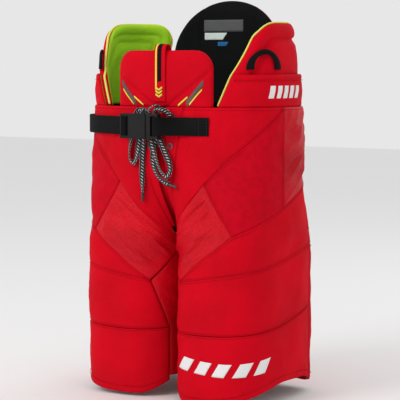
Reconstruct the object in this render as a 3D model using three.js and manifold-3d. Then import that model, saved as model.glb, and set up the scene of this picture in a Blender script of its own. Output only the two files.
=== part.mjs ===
// Junior ice hockey pants, standing on their hems as they do on a shop shelf.
// Millimetres. +Z is up, the front faces -Y and the wearer's left is +X.
// The origin is on the floor, below the middle of the whole object.
// The shell is one surface, point(t, z): t runs round one half of the body from the front
// centre (0) over the outer side (0.5) to the back centre (1), and on round the inside of the leg.
import * as THREE from "three";
import { mergeVertices } from "three/addons/utils/BufferGeometryUtils.js";
import Module from "manifold-3d";

// ---- driving dimensions ----
const WAIST_HALF_WIDTH = 150;
const WAIST_FRONT = 97; // front of the waist, from the body's middle
const WAIST_BACK = 92;
const LEG_HALF_WIDTH = 74;
const LEG_GAP = 3; // between the two legs
const LEG_FRONT = 101;
const LEG_BACK = 98;
const TORSO_POWER = 2.6; // squareness of the waist's oval
const LEG_POWER = 3;
const INNER_ANGLE = 62; // how far round the leg the inner leg panel reaches, in degrees

const CROTCH_Z = 200; // below this the legs are separate tubes
const TORSO_Z = 320; // above this the shell is one oval
const WAIST_Z = 402; // seam between the shell and the belt band
const BAND_HEIGHT = 44;
const WING_HEIGHT = 69; // hip wings, above the belt band
const SPINE_HEIGHT = 103; // spine guard, above the belt band
const BELLY_HEIGHT = 76; // belly pad, above the waist seam
const BELLY_HALF_WIDTH = 77;

const SKIN = 4; // padded outer panels
const PLATE = 2.4; // moulded polyethylene plates
const FOAM = 9;
const LAYER_GAP = 0.9; // between stacked layers
const SEAM_GAP = 0.8; // between the edges of neighbouring panels
const TURN_GAP = 0.4; // between a flap's foot and what it folds over
const PAD = 11; // wings, spine guard and belly pad
const BAND_INSET = 2; // the belt band sits this far inside the shell's outer face

const STRAP_WIDTH = 25;
const STRAP_THICK = 1.6;
const BELT_Z = WAIST_Z - 26;
const BUCKLE_X = -22; // middle of the buckle
const BUCKLE_HALF_LENGTH = 31;
const BUCKLE_HALF_HEIGHT = STRAP_WIDTH / 2 + 4.5;
const BUCKLE_HALF_DEPTH = 5;
const LACE_ROOM = 11; // between the front panels and the belt, for the laces
const LACE_RADIUS = 1.5;
const HALF_GIRTH = 430; // length of t from 0 to 1, used to keep seam gaps even

const STRAP_OUT = 2.5; // the long strap stands this far off the hip

// The body's middle is moved by half of what the belt adds in front and at the right hip.
const BELT_FRONT = WAIST_FRONT + LACE_ROOM + 2 * BUCKLE_HALF_DEPTH + STRAP_THICK + 0.4;
const BODY_Y = (BELT_FRONT - LEG_BACK) / 2;
const BODY_X = (STRAP_OUT + STRAP_THICK / 2) / 2;

const pants = new THREE.Group();
pants.position.set(BODY_X, BODY_Y, 0);

// ---- the shell's surface ----
const LEG_CENTRE = LEG_HALF_WIDTH + LEG_GAP / 2;
const clamp01 = (v) => Math.min(1, Math.max(0, v));
const smooth = (v) => clamp01(v) ** 2 * (3 - 2 * clamp01(v));
const mix = (a, b, k) => a + (b - a) * k;

// A point on an oval, at an angle in degrees from its front towards +X.
function oval(degrees, halfWidth, front, back, power) {
  const a = THREE.MathUtils.degToRad(degrees);
  const depth = Math.cos(a) > 0 ? front : back;
  const r =
    1 /
    (Math.abs(Math.sin(a) / halfWidth) ** power +
      Math.abs(Math.cos(a) / depth) ** power) **
      (1 / power);
  return new THREE.Vector2(r * Math.sin(a), -r * Math.cos(a));
}

// The shell's outline at height z. The lower thigh stands a little proud of the hip.
function outline(t, z) {
  const torso = oval(180 * t, WAIST_HALF_WIDTH, WAIST_FRONT, WAIST_BACK, TORSO_POWER);
  const leg = oval(
    -INNER_ANGLE + (180 + 2 * INNER_ANGLE) * t,
    LEG_HALF_WIDTH,
    LEG_FRONT,
    LEG_BACK,
    LEG_POWER,
  );
  leg.x += LEG_CENTRE;
  return leg.lerp(torso, smooth((z - CROTCH_Z) / (TORSO_Z - CROTCH_Z)));
}

// A point of the shell, moved out of its surface by `out`.
function point(t, z, out = 0) {
  const step = 0.002;
  const along = outline(t + step, z).sub(outline(t - step, z)).normalize();
  const p = outline(t, z);
  return new THREE.Vector3(p.x + along.y * out, p.y - along.x * out, z);
}

// Front (-1) or back (+1) of the waist oval at x.
function waistY(x, way) {
  const depth = way < 0 ? WAIST_FRONT : WAIST_BACK;
  const share = Math.abs(x / WAIST_HALF_WIDTH) ** TORSO_POWER;
  return way * depth * (1 - share) ** (1 / TORSO_POWER);
}

// ---- makers ----
const colours = {
  red: 0xc8102e,
  stretch: 0xb00c22,
  lime: 0xa6e03a,
  black: 0x151515,
  white: 0xf2f2f2,
  grey: 0x6c6660,
  foam: 0x3c3c3c,
};
function add(name, geometry, colour, parent = pants, metalness = 0) {
  const material = new THREE.MeshStandardMaterial({
    color: colours[colour],
    roughness: 0.8,
    metalness,
  });
  const mesh = new THREE.Mesh(geometry, material);
  mesh.name = name;
  parent.add(mesh);
  return mesh;
}

// The same piece on both sides of the body.
function addPair(name, geometry, colour) {
  const left = add(`${name}_left`, geometry, colour);
  const right = add(`${name}_right`, geometry, colour);
  right.scale.x = -1;
  return [left, right];
}

// A slab bent into place: at(u, v, w) gives a point, with w from the inner face to the outer.
function slab(across, up, at) {
  const box = new THREE.BoxGeometry(1, 1, 1, across, up, 1);
  const p = box.getAttribute("position");
  for (let i = 0; i < p.count; i++) {
    const q = at(p.getX(i) + 0.5, p.getY(i) + 0.5, p.getZ(i) + 0.5);
    p.setXYZ(i, q.x, q.y, q.z);
  }
  return box;
}

// The corners of a panel [t, z], drawn in from its seams by half a seam gap.
function drawnIn(corners, gap = SEAM_GAP) {
  const flat = corners.map(([t, z]) => new THREE.Vector2(t * HALF_GIRTH, z));
  const lines = flat.map((a, i) => {
    const b = flat[(i + 1) % 4];
    const way = b.clone().sub(a).normalize();
    const inwards = new THREE.Vector2(-way.y, way.x);
    return { from: a.clone().addScaledVector(inwards, gap / 2), way };
  });
  return lines.map((line, i) => {
    const before = lines[(i + 3) % 4];
    const apart = line.from.clone().sub(before.from);
    const s = apart.cross(line.way) / before.way.cross(line.way);
    const corner = before.from.clone().addScaledVector(before.way, s);
    return [corner.x / HALF_GIRTH, corner.y];
  });
}

// A panel of the shell between four corners [t, z]: low front, low back, high back, high front.
// sag bows its lower edge down, and sink is how deep its outer face lies.
function panel(
  corners,
  { across = 6, up = 3, sink = 0, thick = SKIN, sag = 0, low = 0, high = 1, foot, gap } = {},
) {
  const [a, b, c, d] = drawnIn(corners, gap);
  return slab(across, up, (u, v, w) => {
    const k = mix(low, high, v);
    const t = mix(mix(a[0], b[0], u), mix(d[0], c[0], u), k);
    const bottom = foot ? foot(mix(a[0], b[0], u)) : mix(a[1], b[1], u) - sag * 4 * u * (1 - u);
    const z = mix(bottom, mix(d[1], c[1], u), k);
    return point(t, z, -sink - thick * (1 - w));
  });
}

// ---- seams of one half, as [t, z] ----
// The point at t on the straight seam through a and b.
const onSeam = (a, b, t) => [t, mix(a[1], b[1], (t - a[0]) / (b[0] - a[0]))];
const CROTCH = [0.01, 208];
const GROIN_FOOT = [0.105, 163]; // lowest point of the groin gusset
const HIP_CORNER = [0.2, 299]; // where the front, hip and groin panels meet
const THIGH_CORNER = [0.28, 230];
const SIDE = 0.46; // the side seam
const BACK_SEAM = 0.63; // the seat and the back of the leg begin here
const SIDE_LOW = [SIDE, 267];
const SIDE_HIGH = [SIDE, WAIST_Z];
const BACK_MIDDLE = onSeam(THIGH_CORNER, SIDE_LOW, BACK_SEAM);
const THIGH_TOP = [BACK_SEAM, 209];
const FLEX_Z = 228; // the seat panels end here, above a strip of stretch fabric
const FLY_SEAM = 0.115;
const THIGH_EDGE = 0.05; // the thigh panel and hem band begin here, inside the leg
const HEM_SEAM = [92, 122]; // top of the hem band, at the inner front and at the outer side
const HEM_RISE = 28; // the hem arches up at the outer and inner side of the leg
const FLAT_FROM = 0.14; // the hem lies flat on the floor between these
const FLAT_TO = 0.22;

// Height of the hem, which is flat in front and behind.
function hem(t) {
  const outer = smooth((t - FLAT_TO) / 0.2) * smooth((0.72 - t) / 0.14);
  const inner = smooth((FLAT_FROM - t) / FLAT_FROM);
  return HEM_RISE * Math.max(outer, inner);
}

// ---- waist and hip panels ----
addPair(
  "front_panel",
  panel([CROTCH, HIP_CORNER, SIDE_HIGH, [FLY_SEAM, WAIST_Z]], { across: 8, up: 10, gap: 2 * SEAM_GAP }),
  "red",
);
addPair(
  "hip_panel",
  panel([THIGH_CORNER, SIDE_LOW, SIDE_HIGH, HIP_CORNER], { across: 10, up: 4 }),
  "red",
);
addPair(
  "side_stretch_panel",
  panel([SIDE_LOW, BACK_MIDDLE, [BACK_SEAM, WAIST_Z], SIDE_HIGH], { across: 4, up: 4 }),
  "stretch",
);
addPair(
  "seat_panel",
  panel([[BACK_SEAM, FLEX_Z], [1, FLEX_Z], [1, WAIST_Z], [BACK_SEAM, WAIST_Z]], { across: 9, up: 4 }),
  "red",
);

// The hip cap is a moulded plate under the hip and side panels, with a foam pad inside it.
const capSink = SKIN + LAYER_GAP;
const hipPadSink = capSink + PLATE + LAYER_GAP;
const CAP_LOW = WAIST_Z - 102;
const CAP_HIGH = WAIST_Z - 10;
const hipCap = [[0.4, CAP_LOW], [0.6, CAP_LOW], [0.6, CAP_HIGH], [0.42, CAP_HIGH]];
addPair("hip_cap_plate", panel(hipCap, { across: 8, up: 3, sink: capSink, thick: PLATE }), "white");
addPair("hip_foam_pad", panel(hipCap, { across: 8, up: 3, sink: hipPadSink, thick: FOAM }), "foam");

// The tailbone plate and its pad, across the back centre.
function acrossBack(halfWidth, from, to, sink, thick, across) {
  return slab(across, 3, (u, v, w) => {
    const x = mix(halfWidth, -halfWidth, u);
    return new THREE.Vector3(x, waistY(x, 1) - sink - thick * (1 - w), mix(from, to, v));
  });
}
const TAIL_HALF_WIDTH = 42;
const TAIL_FROM = WAIST_Z - 80;
const TAIL_TO = WAIST_Z - 8;
add("tailbone_plate", acrossBack(TAIL_HALF_WIDTH, TAIL_FROM, TAIL_TO, capSink, PLATE, 6), "white");
add("tailbone_pad", acrossBack(TAIL_HALF_WIDTH, TAIL_FROM, TAIL_TO, hipPadSink, FOAM, 6), "foam");

// ---- the flex zone: stretch fabric that lets each leg swing ----
addPair(
  "groin_gusset",
  panel([GROIN_FOOT, THIGH_CORNER, HIP_CORNER, CROTCH], { across: 8, up: 4 }),
  "stretch",
);
addPair(
  "upper_thigh_panel",
  panel([GROIN_FOOT, THIGH_TOP, BACK_MIDDLE, THIGH_CORNER], { across: 11, up: 4 }),
  "red",
);
addPair(
  "seat_stretch_panel",
  panel([THIGH_TOP, [1, THIGH_TOP[1]], [1, FLEX_Z], [BACK_SEAM, FLEX_Z]], { up: 1 }),
  "stretch",
);
const GUSSET_REACH = 38; // the crotch gusset, from front to back
const GUSSET_HALF_WIDTH = 11;
const crotchGusset = slab(2, 5, (u, v, w) => {
  const y = mix(-GUSSET_REACH, GUSSET_REACH, v);
  const x = mix(-GUSSET_HALF_WIDTH, GUSSET_HALF_WIDTH, u);
  return new THREE.Vector3(x, y, CROTCH_Z + 5 * (y / GUSSET_REACH) ** 2 + 3 * w);
});
add("crotch_gusset", crotchGusset, "stretch");

// ---- thigh guards ----
const thighFront = [
  [THIGH_EDGE, HEM_SEAM[0]],
  [BACK_SEAM, HEM_SEAM[1]],
  THIGH_TOP,
  GROIN_FOOT,
];
addPair("thigh_panel", panel(thighFront, { across: 11, up: 3, sag: 12 }), "red");
const thighPlate = { across: 11, up: 3, sag: 12, low: 0.1, high: 0.92 };
addPair("thigh_plate", panel(thighFront, { ...thighPlate, sink: capSink, thick: PLATE }), "white");
addPair(
  "thigh_foam",
  panel(thighFront, { ...thighPlate, sink: hipPadSink, thick: FOAM }),
  "foam",
);
// The hem band's upper edge follows the thigh panel's bowed lower edge.
const hemBand = (() => {
  const [a, b] = drawnIn(thighFront);
  const below = SEAM_GAP;
  return slab(11, 2, (u, v, w) => {
    const t = mix(a[0], b[0], u);
    const top = mix(a[1], b[1], u) - 12 * 4 * u * (1 - u) - below;
    return point(t, mix(hem(t), top, v), -SKIN * (1 - w));
  });
})();
addPair("hem_band", hemBand, "red");
addPair(
  "back_thigh_panel",
  panel([[BACK_SEAM, 0], [1, 0], [1, THIGH_TOP[1]], THIGH_TOP], { foot: hem }),
  "red",
);
const INNER_END = 1 + (360 - 180 - 2 * INNER_ANGLE) / (180 + 2 * INNER_ANGLE);
// It ends in front at the thigh panel's edge and above at the groin gusset's.
const innerLeg = slab(6, 4, (u, v, w) => {
  const start = 1 + SEAM_GAP / 2 / HALF_GIRTH;
  const groinAt = (t) => onSeam(CROTCH, GROIN_FOOT, t)[1] - 2 * SEAM_GAP;
  const high = Math.min(CROTCH_Z - 0.6, groinAt(mix(start - INNER_END, GROIN_FOOT[0], u)));
  const z = mix(HEM_RISE * Math.sin(Math.min(1, 1.35 * u) * 0.5 * Math.PI), high, v);
  const rise = clamp01((z - HEM_SEAM[0]) / (GROIN_FOOT[1] - HEM_SEAM[0]));
  const frontAt = mix(THIGH_EDGE, GROIN_FOOT[0], rise);
  const t = mix(start, INNER_END + frontAt - SEAM_GAP / HALF_GIRTH, u);
  return point(t, z, -SKIN * (1 - w));
});
addPair("inner_leg_panel", innerLeg, "stretch");

// ---- belt band ----
const BAND_LOW = WAIST_Z;
const BAND_TOP = WAIST_Z + BAND_HEIGHT;
const BAND_FRONT = 0.238; // where the band begins, beside the belly pad
const BAND_SLANT = 0.03;
addPair(
  "belt_band",
  panel([[BAND_FRONT, BAND_LOW], [1, BAND_LOW], [1, BAND_TOP], [BAND_FRONT + BAND_SLANT, BAND_TOP]], {
    across: 17,
    up: 2,
    sink: BAND_INSET,
  }),
  "red",
);

// ---- flaps above the belt band ----
const FLAP_LOW = BAND_TOP + TURN_GAP;
const wingSink = BAND_INSET + SKIN + LAYER_GAP;
const WING_FRONT = 0.3; // at the wing's foot
const WING_BACK = 0.69;
const WING_LEAN = 9; // the wing's top leans in by this much
const wing = slab(12, 5, (u, v, w) => {
  const rise = 1 - 0.3 * (2 * u - 1) ** 6; // rounded top corners
  const t = mix(WING_FRONT + 0.09 * v, WING_BACK + 0.04 * v, u);
  const z = FLAP_LOW + WING_HEIGHT * v * rise;
  return point(t, z, -wingSink - PAD * (1 - w) - WING_LEAN * v * v);
});
addPair("hip_wing", wing, "red");
// Inside the belt band one lining runs round the back, and the wings and spine guard stand on it.
const LINER_FROM = 0.236;
const liner = slab(34, 1, (u, v, w) => {
  const k = mix(-1, 1, u);
  const t = mix(1, LINER_FROM, Math.abs(k));
  const p = point(t, mix(BAND_LOW + SEAM_GAP / 2, BAND_TOP - 0.2, v), -wingSink - PAD * (1 - w));
  p.x *= k < 0 ? 1 : -1;
  return p;
});
add("waist_liner", liner, "lime");

// The spine guard narrows to a dome, and the belly pad has rounded top corners.
const SPINE_HALF_WIDTH = 93;
function spineHalfWidth(v) {
  return SPINE_HALF_WIDTH * Math.sqrt(1 - (0.985 * v) ** 2.6);
}
const spineSink = wingSink;
const spine = slab(10, 6, (u, v, w) => {
  const x = mix(1, -1, u) * spineHalfWidth(v);
  const crown = 1 - 0.07 * (2 * u - 1) ** 2;
  return new THREE.Vector3(
    x,
    waistY(x, 1) - spineSink - PAD * (1 - w),
    FLAP_LOW + SPINE_HEIGHT * v * crown,
  );
});
add("spine_guard", spine, "black");
const BELLY_CORNER = 26;
const BELLY_LOW = WAIST_Z + TURN_GAP;
const belly = slab(10, 6, (u, v, w) => {
  const z = BELLY_HEIGHT * v;
  const over = Math.max(0, z - (BELLY_HEIGHT - BELLY_CORNER));
  const half = BELLY_HALF_WIDTH - BELLY_CORNER + Math.sqrt(BELLY_CORNER ** 2 - over ** 2);
  const x = mix(-1, 1, u) * half;
  return new THREE.Vector3(x, waistY(x, -1) + 1 + PAD * (1 - w), BELLY_LOW + z);
});
add("belly_pad", belly, "red");

// The pull tape is sewn up the belly pad's face and stands over its top as a finger loop.
const TAPE_HALF_WIDTH = 9;
const TAPE_THICK = 1.4;
const TAPE_LOOP = 8;
const tapeFront = -WAIST_FRONT + 1 - 0.3;
const bellyTop = BELLY_LOW + BELLY_HEIGHT;
const tapeLine = [
  [tapeFront - TAPE_THICK / 2, BELLY_LOW + 3],
  [tapeFront - TAPE_THICK / 2, bellyTop],
  [tapeFront + 1, bellyTop + TAPE_LOOP - 2],
  [tapeFront + PAD / 2, bellyTop + TAPE_LOOP],
  [tapeFront + PAD, bellyTop + TAPE_LOOP - 2],
  [tapeFront + PAD + 0.6 + TAPE_THICK / 2, bellyTop],
  [tapeFront + PAD + 0.6 + TAPE_THICK / 2, bellyTop - 18],
];

// A strap cut from a line of points [a, b] in a plane, drawn with its thickness.
function strapShape(line, thick) {
  const pts = line.map(([a, b]) => new THREE.Vector2(a, b));
  const side = pts.map((p, i) => {
    const before = pts[Math.max(0, i - 1)];
    const after = pts[Math.min(pts.length - 1, i + 1)];
    const way = after.clone().sub(before).normalize();
    return new THREE.Vector2(-way.y, way.x).multiplyScalar(thick / 2);
  });
  const over = pts.map((p, i) => p.clone().add(side[i]));
  const under = pts.map((p, i) => p.clone().sub(side[i]));
  return new THREE.Shape([...over, ...under.reverse()]);
}
const tape = new THREE.ExtrudeGeometry(strapShape(tapeLine, TAPE_THICK), {
  depth: 2 * TAPE_HALF_WIDTH,
  bevelEnabled: false,
});
// The shape's own axes are y and z, and the strap is as wide as its depth along x.
tape.applyMatrix4(new THREE.Matrix4().makeBasis(
  new THREE.Vector3(0, 1, 0),
  new THREE.Vector3(0, 0, 1),
  new THREE.Vector3(1, 0, 0),
));
tape.translate(-TAPE_HALF_WIDTH, 0, 0);
add("pull_tape", tape, "red");

// ---- brace loops: an arch of webbing sewn on each hip wing ----
const LOOP_T = 0.395;
const LOOP_HALF_WIDTH = 22;
const LOOP_TALL = 31;
const LOOP_WEB = 8;
const LOOP_THICK = 2;
const loopLift = 0.5; // off the wing's face
const loop = slab(14, 1, (u, v, w) => {
  const a = Math.PI * u;
  const r = mix(-LOOP_WEB / 2, LOOP_WEB / 2, v);
  const along = -Math.cos(a) * (LOOP_HALF_WIDTH + r);
  const tall = Math.sin(a) * (LOOP_TALL - LOOP_WEB / 2 + r);
  const q = point(LOOP_T + along / HALF_GIRTH, FLAP_LOW + 4 + tall, -wingSink);
  const leanAt = WING_LEAN * ((4 + tall) / WING_HEIGHT) ** 2;
  return point(
    LOOP_T + along / HALF_GIRTH,
    q.z,
    -wingSink + loopLift + LOOP_THICK * w - leanAt,
  );
});
addPair("brace_loop", loop, "black");

// ---- fly: a gusset behind two plackets, with the lace eyelets in them ----
const FLY_LOW = 236;
const PLACKET_THICK = 3;
const flySeamAt = (z) => mix(CROTCH[0], FLY_SEAM, (z - CROTCH[1]) / (WAIST_Z - CROTCH[1]));
const placket = panel(
  [[0.012, FLY_LOW], [flySeamAt(FLY_LOW), FLY_LOW], [FLY_SEAM, WAIST_Z], [0.03, WAIST_Z]],
  { across: 3, up: 7, thick: PLACKET_THICK },
);
const flyGusset = slab(6, 7, (u, v, w) => {
  const z = mix(CROTCH[1] + 4, WAIST_Z - 1, v);
  const x = mix(-1, 1, u) * mix(8, 34, v);
  const y = point(0, z).y + waistY(x, -1) - waistY(0, -1);
  return new THREE.Vector3(x, y + SKIN + LAYER_GAP + 2 * (1 - w), z);
});

const wasm = await Module();
wasm.setup();
// manifold-3d needs vertices that neighbouring faces share.
function toSolid(geometry) {
  const bare = geometry.clone();
  bare.deleteAttribute("normal");
  bare.deleteAttribute("uv");
  const merged = mergeVertices(bare, 1e-3);
  return new wasm.Manifold(
    new wasm.Mesh({
      numProp: 3,
      vertProperties: new Float32Array(merged.getAttribute("position").array),
      triVerts: new Uint32Array(merged.index.array),
    }),
  );
}
function toGeometry(solid) {
  const mesh = solid.getMesh();
  return new THREE.BufferGeometry()
    .setAttribute("position", new THREE.BufferAttribute(mesh.vertProperties, 3))
    .setIndex(new THREE.BufferAttribute(mesh.triVerts, 1));
}
function block(from, to) {
  const size = to.map((v, i) => v - from[i]);
  return new THREE.BoxGeometry(...size).translate(...from.map((v, i) => v + size[i] / 2));
}

const EYELET_HOLE = 2.6;
const EYELET_RIM = 4.6;
const EYELETS = [[20, WAIST_Z - 13], [16.5, WAIST_Z - 53]]; // [x, z]
let placketSolid = toSolid(placket);
for (const [x, z] of EYELETS) {
  const drill = new THREE.CylinderGeometry(EYELET_HOLE + 0.9, EYELET_HOLE + 0.9, 40, 12);
  drill.translate(x, -WAIST_FRONT, z);
  placketSolid = placketSolid.subtract(toSolid(drill));
}
addPair("fly_placket", toGeometry(placketSolid), "red");
add("fly_gusset", flyGusset, "red");
// An eyelet is a rolled ring whose flange lies on the placket and whose barrel goes through it.
EYELETS.forEach(([x, z], row) => {
  const eyelet = new THREE.LatheGeometry(
    [
      [EYELET_HOLE, -PLACKET_THICK - 0.4],
      [EYELET_HOLE + 0.6, -PLACKET_THICK - 0.4],
      [EYELET_HOLE + 0.6, 0.5],
      [EYELET_RIM, 0.5],
      [EYELET_RIM, 1],
      [EYELET_HOLE, 1.2],
      [EYELET_HOLE, -PLACKET_THICK - 0.4],
    ].map(([r, h]) => new THREE.Vector2(r, h)),
    12,
  );
  eyelet.rotateX(Math.PI);
  eyelet.translate(x, waistY(x, -1), z);
  addPair(`eyelet_${row + 1}`, eyelet, "grey");
});

// ---- belt: buckle and its two straps ----
const buckleY = -(WAIST_FRONT + LACE_ROOM + BUCKLE_HALF_DEPTH);
const buckle = new THREE.Group();
buckle.position.set(BUCKLE_X, buckleY, BELT_Z);
pants.add(buckle);

const MOUTH = 11; // the female half ends here, and the male half begins
const CAVITY = BUCKLE_HALF_HEIGHT - 2; // half height of the hollow that takes the prongs
const SLOT = STRAP_WIDTH / 2 + 0.9; // half height of the webbing slots
const housing = toSolid(
  block(
    [-BUCKLE_HALF_LENGTH, -BUCKLE_HALF_DEPTH, -BUCKLE_HALF_HEIGHT],
    [MOUTH, BUCKLE_HALF_DEPTH, BUCKLE_HALF_HEIGHT],
  ),
)
  .subtract(toSolid(block([-15, -3.4, -CAVITY], [MOUTH + 1, 3.4, CAVITY])))
  .subtract(toSolid(block([-9, -2.2, -BUCKLE_HALF_HEIGHT - 3], [3, 2.2, BUCKLE_HALF_HEIGHT + 3])))
  .subtract(toSolid(block([-28.4, -20, -SLOT], [-24.8, 20, SLOT])))
  .subtract(toSolid(block([-21.6, -20, -SLOT], [-18, 20, SLOT])));
add("buckle_socket", toGeometry(housing), "black", buckle);

const maleBase = toSolid(
  block([MOUTH + 0.4, -4.2, -BUCKLE_HALF_HEIGHT], [BUCKLE_HALF_LENGTH, 4.2, BUCKLE_HALF_HEIGHT]),
)
  .subtract(toSolid(block([19, -20, -SLOT], [25.6, 20, SLOT])))
  .add(toSolid(block([-11, -1.8, -3], [MOUTH + 1, 1.8, 3])));
add("buckle_plug", toGeometry(maleBase), "black", buckle);

// Each prong bends in from its root when its side of the buckle is pressed.
for (const [name, way] of [["upper", 1], ["lower", -1]]) {
  const arm = new THREE.Shape([
    [MOUTH, CAVITY - 7],
    [MOUTH, CAVITY - 3],
    [2.6, CAVITY - 0.4],
    [-8.4, CAVITY - 0.4],
    [-12, CAVITY - 4.5],
    [-7, CAVITY - 5.5],
  ].map(([x, z]) => new THREE.Vector2(x, z)));
  const prong = new THREE.ExtrudeGeometry(arm, { depth: 3.6, bevelEnabled: false });
  prong.rotateX(Math.PI / 2);
  prong.translate(0, 1.8, 0);
  const mesh = add(`buckle_prong_${name}`, prong, "black", buckle);
  mesh.scale.z = way;
}

// A strap of webbing along a line of points [x, y] seen from above.
function webbing(line, width = STRAP_WIDTH) {
  return new THREE.ExtrudeGeometry(strapShape(line, STRAP_THICK), {
    depth: width,
    bevelEnabled: false,
  }).translate(0, 0, -width / 2);
}
// The short strap turns round the plug's bar and is sewn on the left front panel.
const strapOut = STRAP_THICK / 2 + 0.4;
const onPanel = (x) => waistY(x, -1) - strapOut;
const barX = BUCKLE_X + 28.3;
const loopGap = 3.2; // room round the bar
const shortStrap = webbing([
  [barX + 6, buckleY + 4.2 + 1.4],
  [barX - 4, buckleY + 4.2 + 1.2],
  [barX - 6, buckleY + 1.5],
  [barX - 5.6, buckleY - 2.4],
  [barX - 4, buckleY - 4.2 - 1.3],
  [barX + 4, buckleY - 4.2 - 1.3],
  [barX + 12, buckleY + 1.6],
  [barX + 26, onPanel(barX + 26) - loopGap],
  [barX + 40, onPanel(barX + 40) - 0.4],
  [56, onPanel(56)],
  [66, onPanel(66)],
  [77, onPanel(77)],
]);
add("short_strap", shortStrap.translate(0, 0, BELT_Z), "black");

// The long strap threads the socket's two slots and runs round the right hip to its sewn end.
const threadX = BUCKLE_X - 23.2;
const threadBack = buckleY + BUCKLE_HALF_DEPTH + 1.2;
const threadFront = buckleY - BUCKLE_HALF_DEPTH - 1.2;
function roundHip(t) {
  const p = point(t, BELT_Z, STRAP_OUT);
  return [-p.x, p.y];
}
const longStrap = webbing([
  [threadX + 6.6, threadBack],
  [threadX + 4.4, threadBack - 0.6],
  [threadX + 3.4, buckleY],
  [threadX + 2.4, threadFront + 0.4],
  [threadX, threadFront],
  [threadX - 2.4, threadFront + 0.4],
  [threadX - 3.4, buckleY],
  [threadX - 4.4, threadBack - 0.6],
  [threadX - 12, threadBack + 0.4],
  ...[0.27, 0.3, 0.33, 0.36, 0.39, 0.42, 0.45, 0.48, 0.51].map(roundHip),
]);
add("long_strap", longStrap.translate(0, 0, BELT_Z), "black");

// ---- laces: one tied lace, as the two halves that leave the top eyelets ----
// Each half goes up to the bow, down and back up as a bow loop, and ends in a hanging tail.
// Points are [x, y, z], y counted from the body's middle.
const leftHalf = [
  [-20, -100.6, 389], [-23, -104, 395.5], [-30, -105.2, 397], [-36, -104.4, 388], [-41, -103.4, 372],
  [-46, -102.4, 354], [-49, -101.8, 340], [-48, -101.6, 329], [-42, -101.6, 325], [-37, -102, 332],
  [-33, -102.8, 347], [-30, -103.6, 362], [-28, -104.4, 378], [-26.5, -105, 389], [-23.5, -108, 397.5],
  [-19, -108.4, 399], [-17.5, -105.4, 394], [-19.5, -104.4, 385], [-22, -103.4, 372],
  [-25, -101.8, 356], [-27, -101, 336], [-28, -100.8, 316], [-28, -100.6, 298], [-28, -100, 284],
];
const rightHalf = [
  [20, -100.6, 389], [15, -103.6, 395.5], [7, -106.6, 399], [-2, -106.6, 398.5], [-7, -105, 391],
  [-5, -104.4, 380], [2, -104.4, 362], [11, -104.4, 344], [19, -104.4, 328], [21, -104.4, 316],
  [15, -104.4, 308], [6, -104.4, 314], [-2, -104.4, 330], [-9, -104.4, 350], [-13, -104.4, 370],
  [-13.8, -104.6, 387], [-11.5, -108, 397], [-6, -111, 402], [0, -110, 404.5], [4, -105.4, 404.5],
  [3, -101.6, 400], [0, -100.6, 390], [-3, -100.4, 372], [-7, -100.4, 352], [-10, -100.4, 334],
  [-8, -100.6, 318], [0, -100.8, 306], [9, -100.8, 300], [18, -100.8, 297],
];
const TIP_LENGTH = 12;
const TIP_RADIUS = 1.9;
function laceTube(points, name) {
  const path = new THREE.CatmullRomCurve3(points.map((p) => new THREE.Vector3(...p)));
  const section = new THREE.Shape(
    Array.from({ length: 8 }, (_, i) => {
      const a = (i * Math.PI) / 4;
      return new THREE.Vector2(LACE_RADIUS * Math.cos(a), LACE_RADIUS * Math.sin(a));
    }),
  );
  const steps = Math.min(78, Math.ceil(path.getLength() / (2.2 * LACE_RADIUS * 2)));
  add(name, new THREE.ExtrudeGeometry(section, { steps, bevelEnabled: false, extrudePath: path }), "black");
  return path;
}
function laceTip(path, name) {
  const end = path.getPointAt(1);
  const way = path.getTangentAt(1);
  const tip = add(name, new THREE.CylinderGeometry(TIP_RADIUS, TIP_RADIUS * 0.8, TIP_LENGTH, 10), "black");
  tip.position.copy(end).addScaledVector(way, TIP_LENGTH / 2 + 0.3);
  tip.quaternion.setFromUnitVectors(new THREE.Vector3(0, -1, 0), way);
}
laceTip(laceTube(leftHalf, "lace_left"), "lace_tip_left");
laceTip(laceTube(rightHalf, "lace_right"), "lace_tip_right");

export default pants;
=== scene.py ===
import math

import bmesh
import bpy
from mathutils import Matrix, Vector, noise


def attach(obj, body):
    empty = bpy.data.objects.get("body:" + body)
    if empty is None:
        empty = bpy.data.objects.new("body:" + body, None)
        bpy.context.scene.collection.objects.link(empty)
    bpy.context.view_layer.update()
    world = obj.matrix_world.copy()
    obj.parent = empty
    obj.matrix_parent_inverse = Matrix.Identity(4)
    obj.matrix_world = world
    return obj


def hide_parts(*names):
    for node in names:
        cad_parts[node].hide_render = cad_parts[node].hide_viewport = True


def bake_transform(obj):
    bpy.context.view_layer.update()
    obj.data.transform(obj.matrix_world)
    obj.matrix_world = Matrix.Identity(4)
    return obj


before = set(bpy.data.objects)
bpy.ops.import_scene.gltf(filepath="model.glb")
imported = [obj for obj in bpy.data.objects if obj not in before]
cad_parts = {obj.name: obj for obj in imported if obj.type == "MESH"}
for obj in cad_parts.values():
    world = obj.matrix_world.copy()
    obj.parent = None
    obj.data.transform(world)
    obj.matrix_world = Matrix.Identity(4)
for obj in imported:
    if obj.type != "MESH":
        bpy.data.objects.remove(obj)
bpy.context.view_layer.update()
scene = bpy.context.scene
scene.view_settings.view_transform = "Standard"

# ---------------------------------------------------------------- camera, floor and light
# A plain pale sweep under soft studio light. The camera looks from the wearer's front left,
# a little above the middle of the pants.
AZIMUTH = math.radians(34)
ELEVATION = math.radians(4.6)
DISTANCE = 2.5
AIM = Vector((0.0068, 0.0026, 0.2695))
VIEW_WIDTH = 0.561

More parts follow.
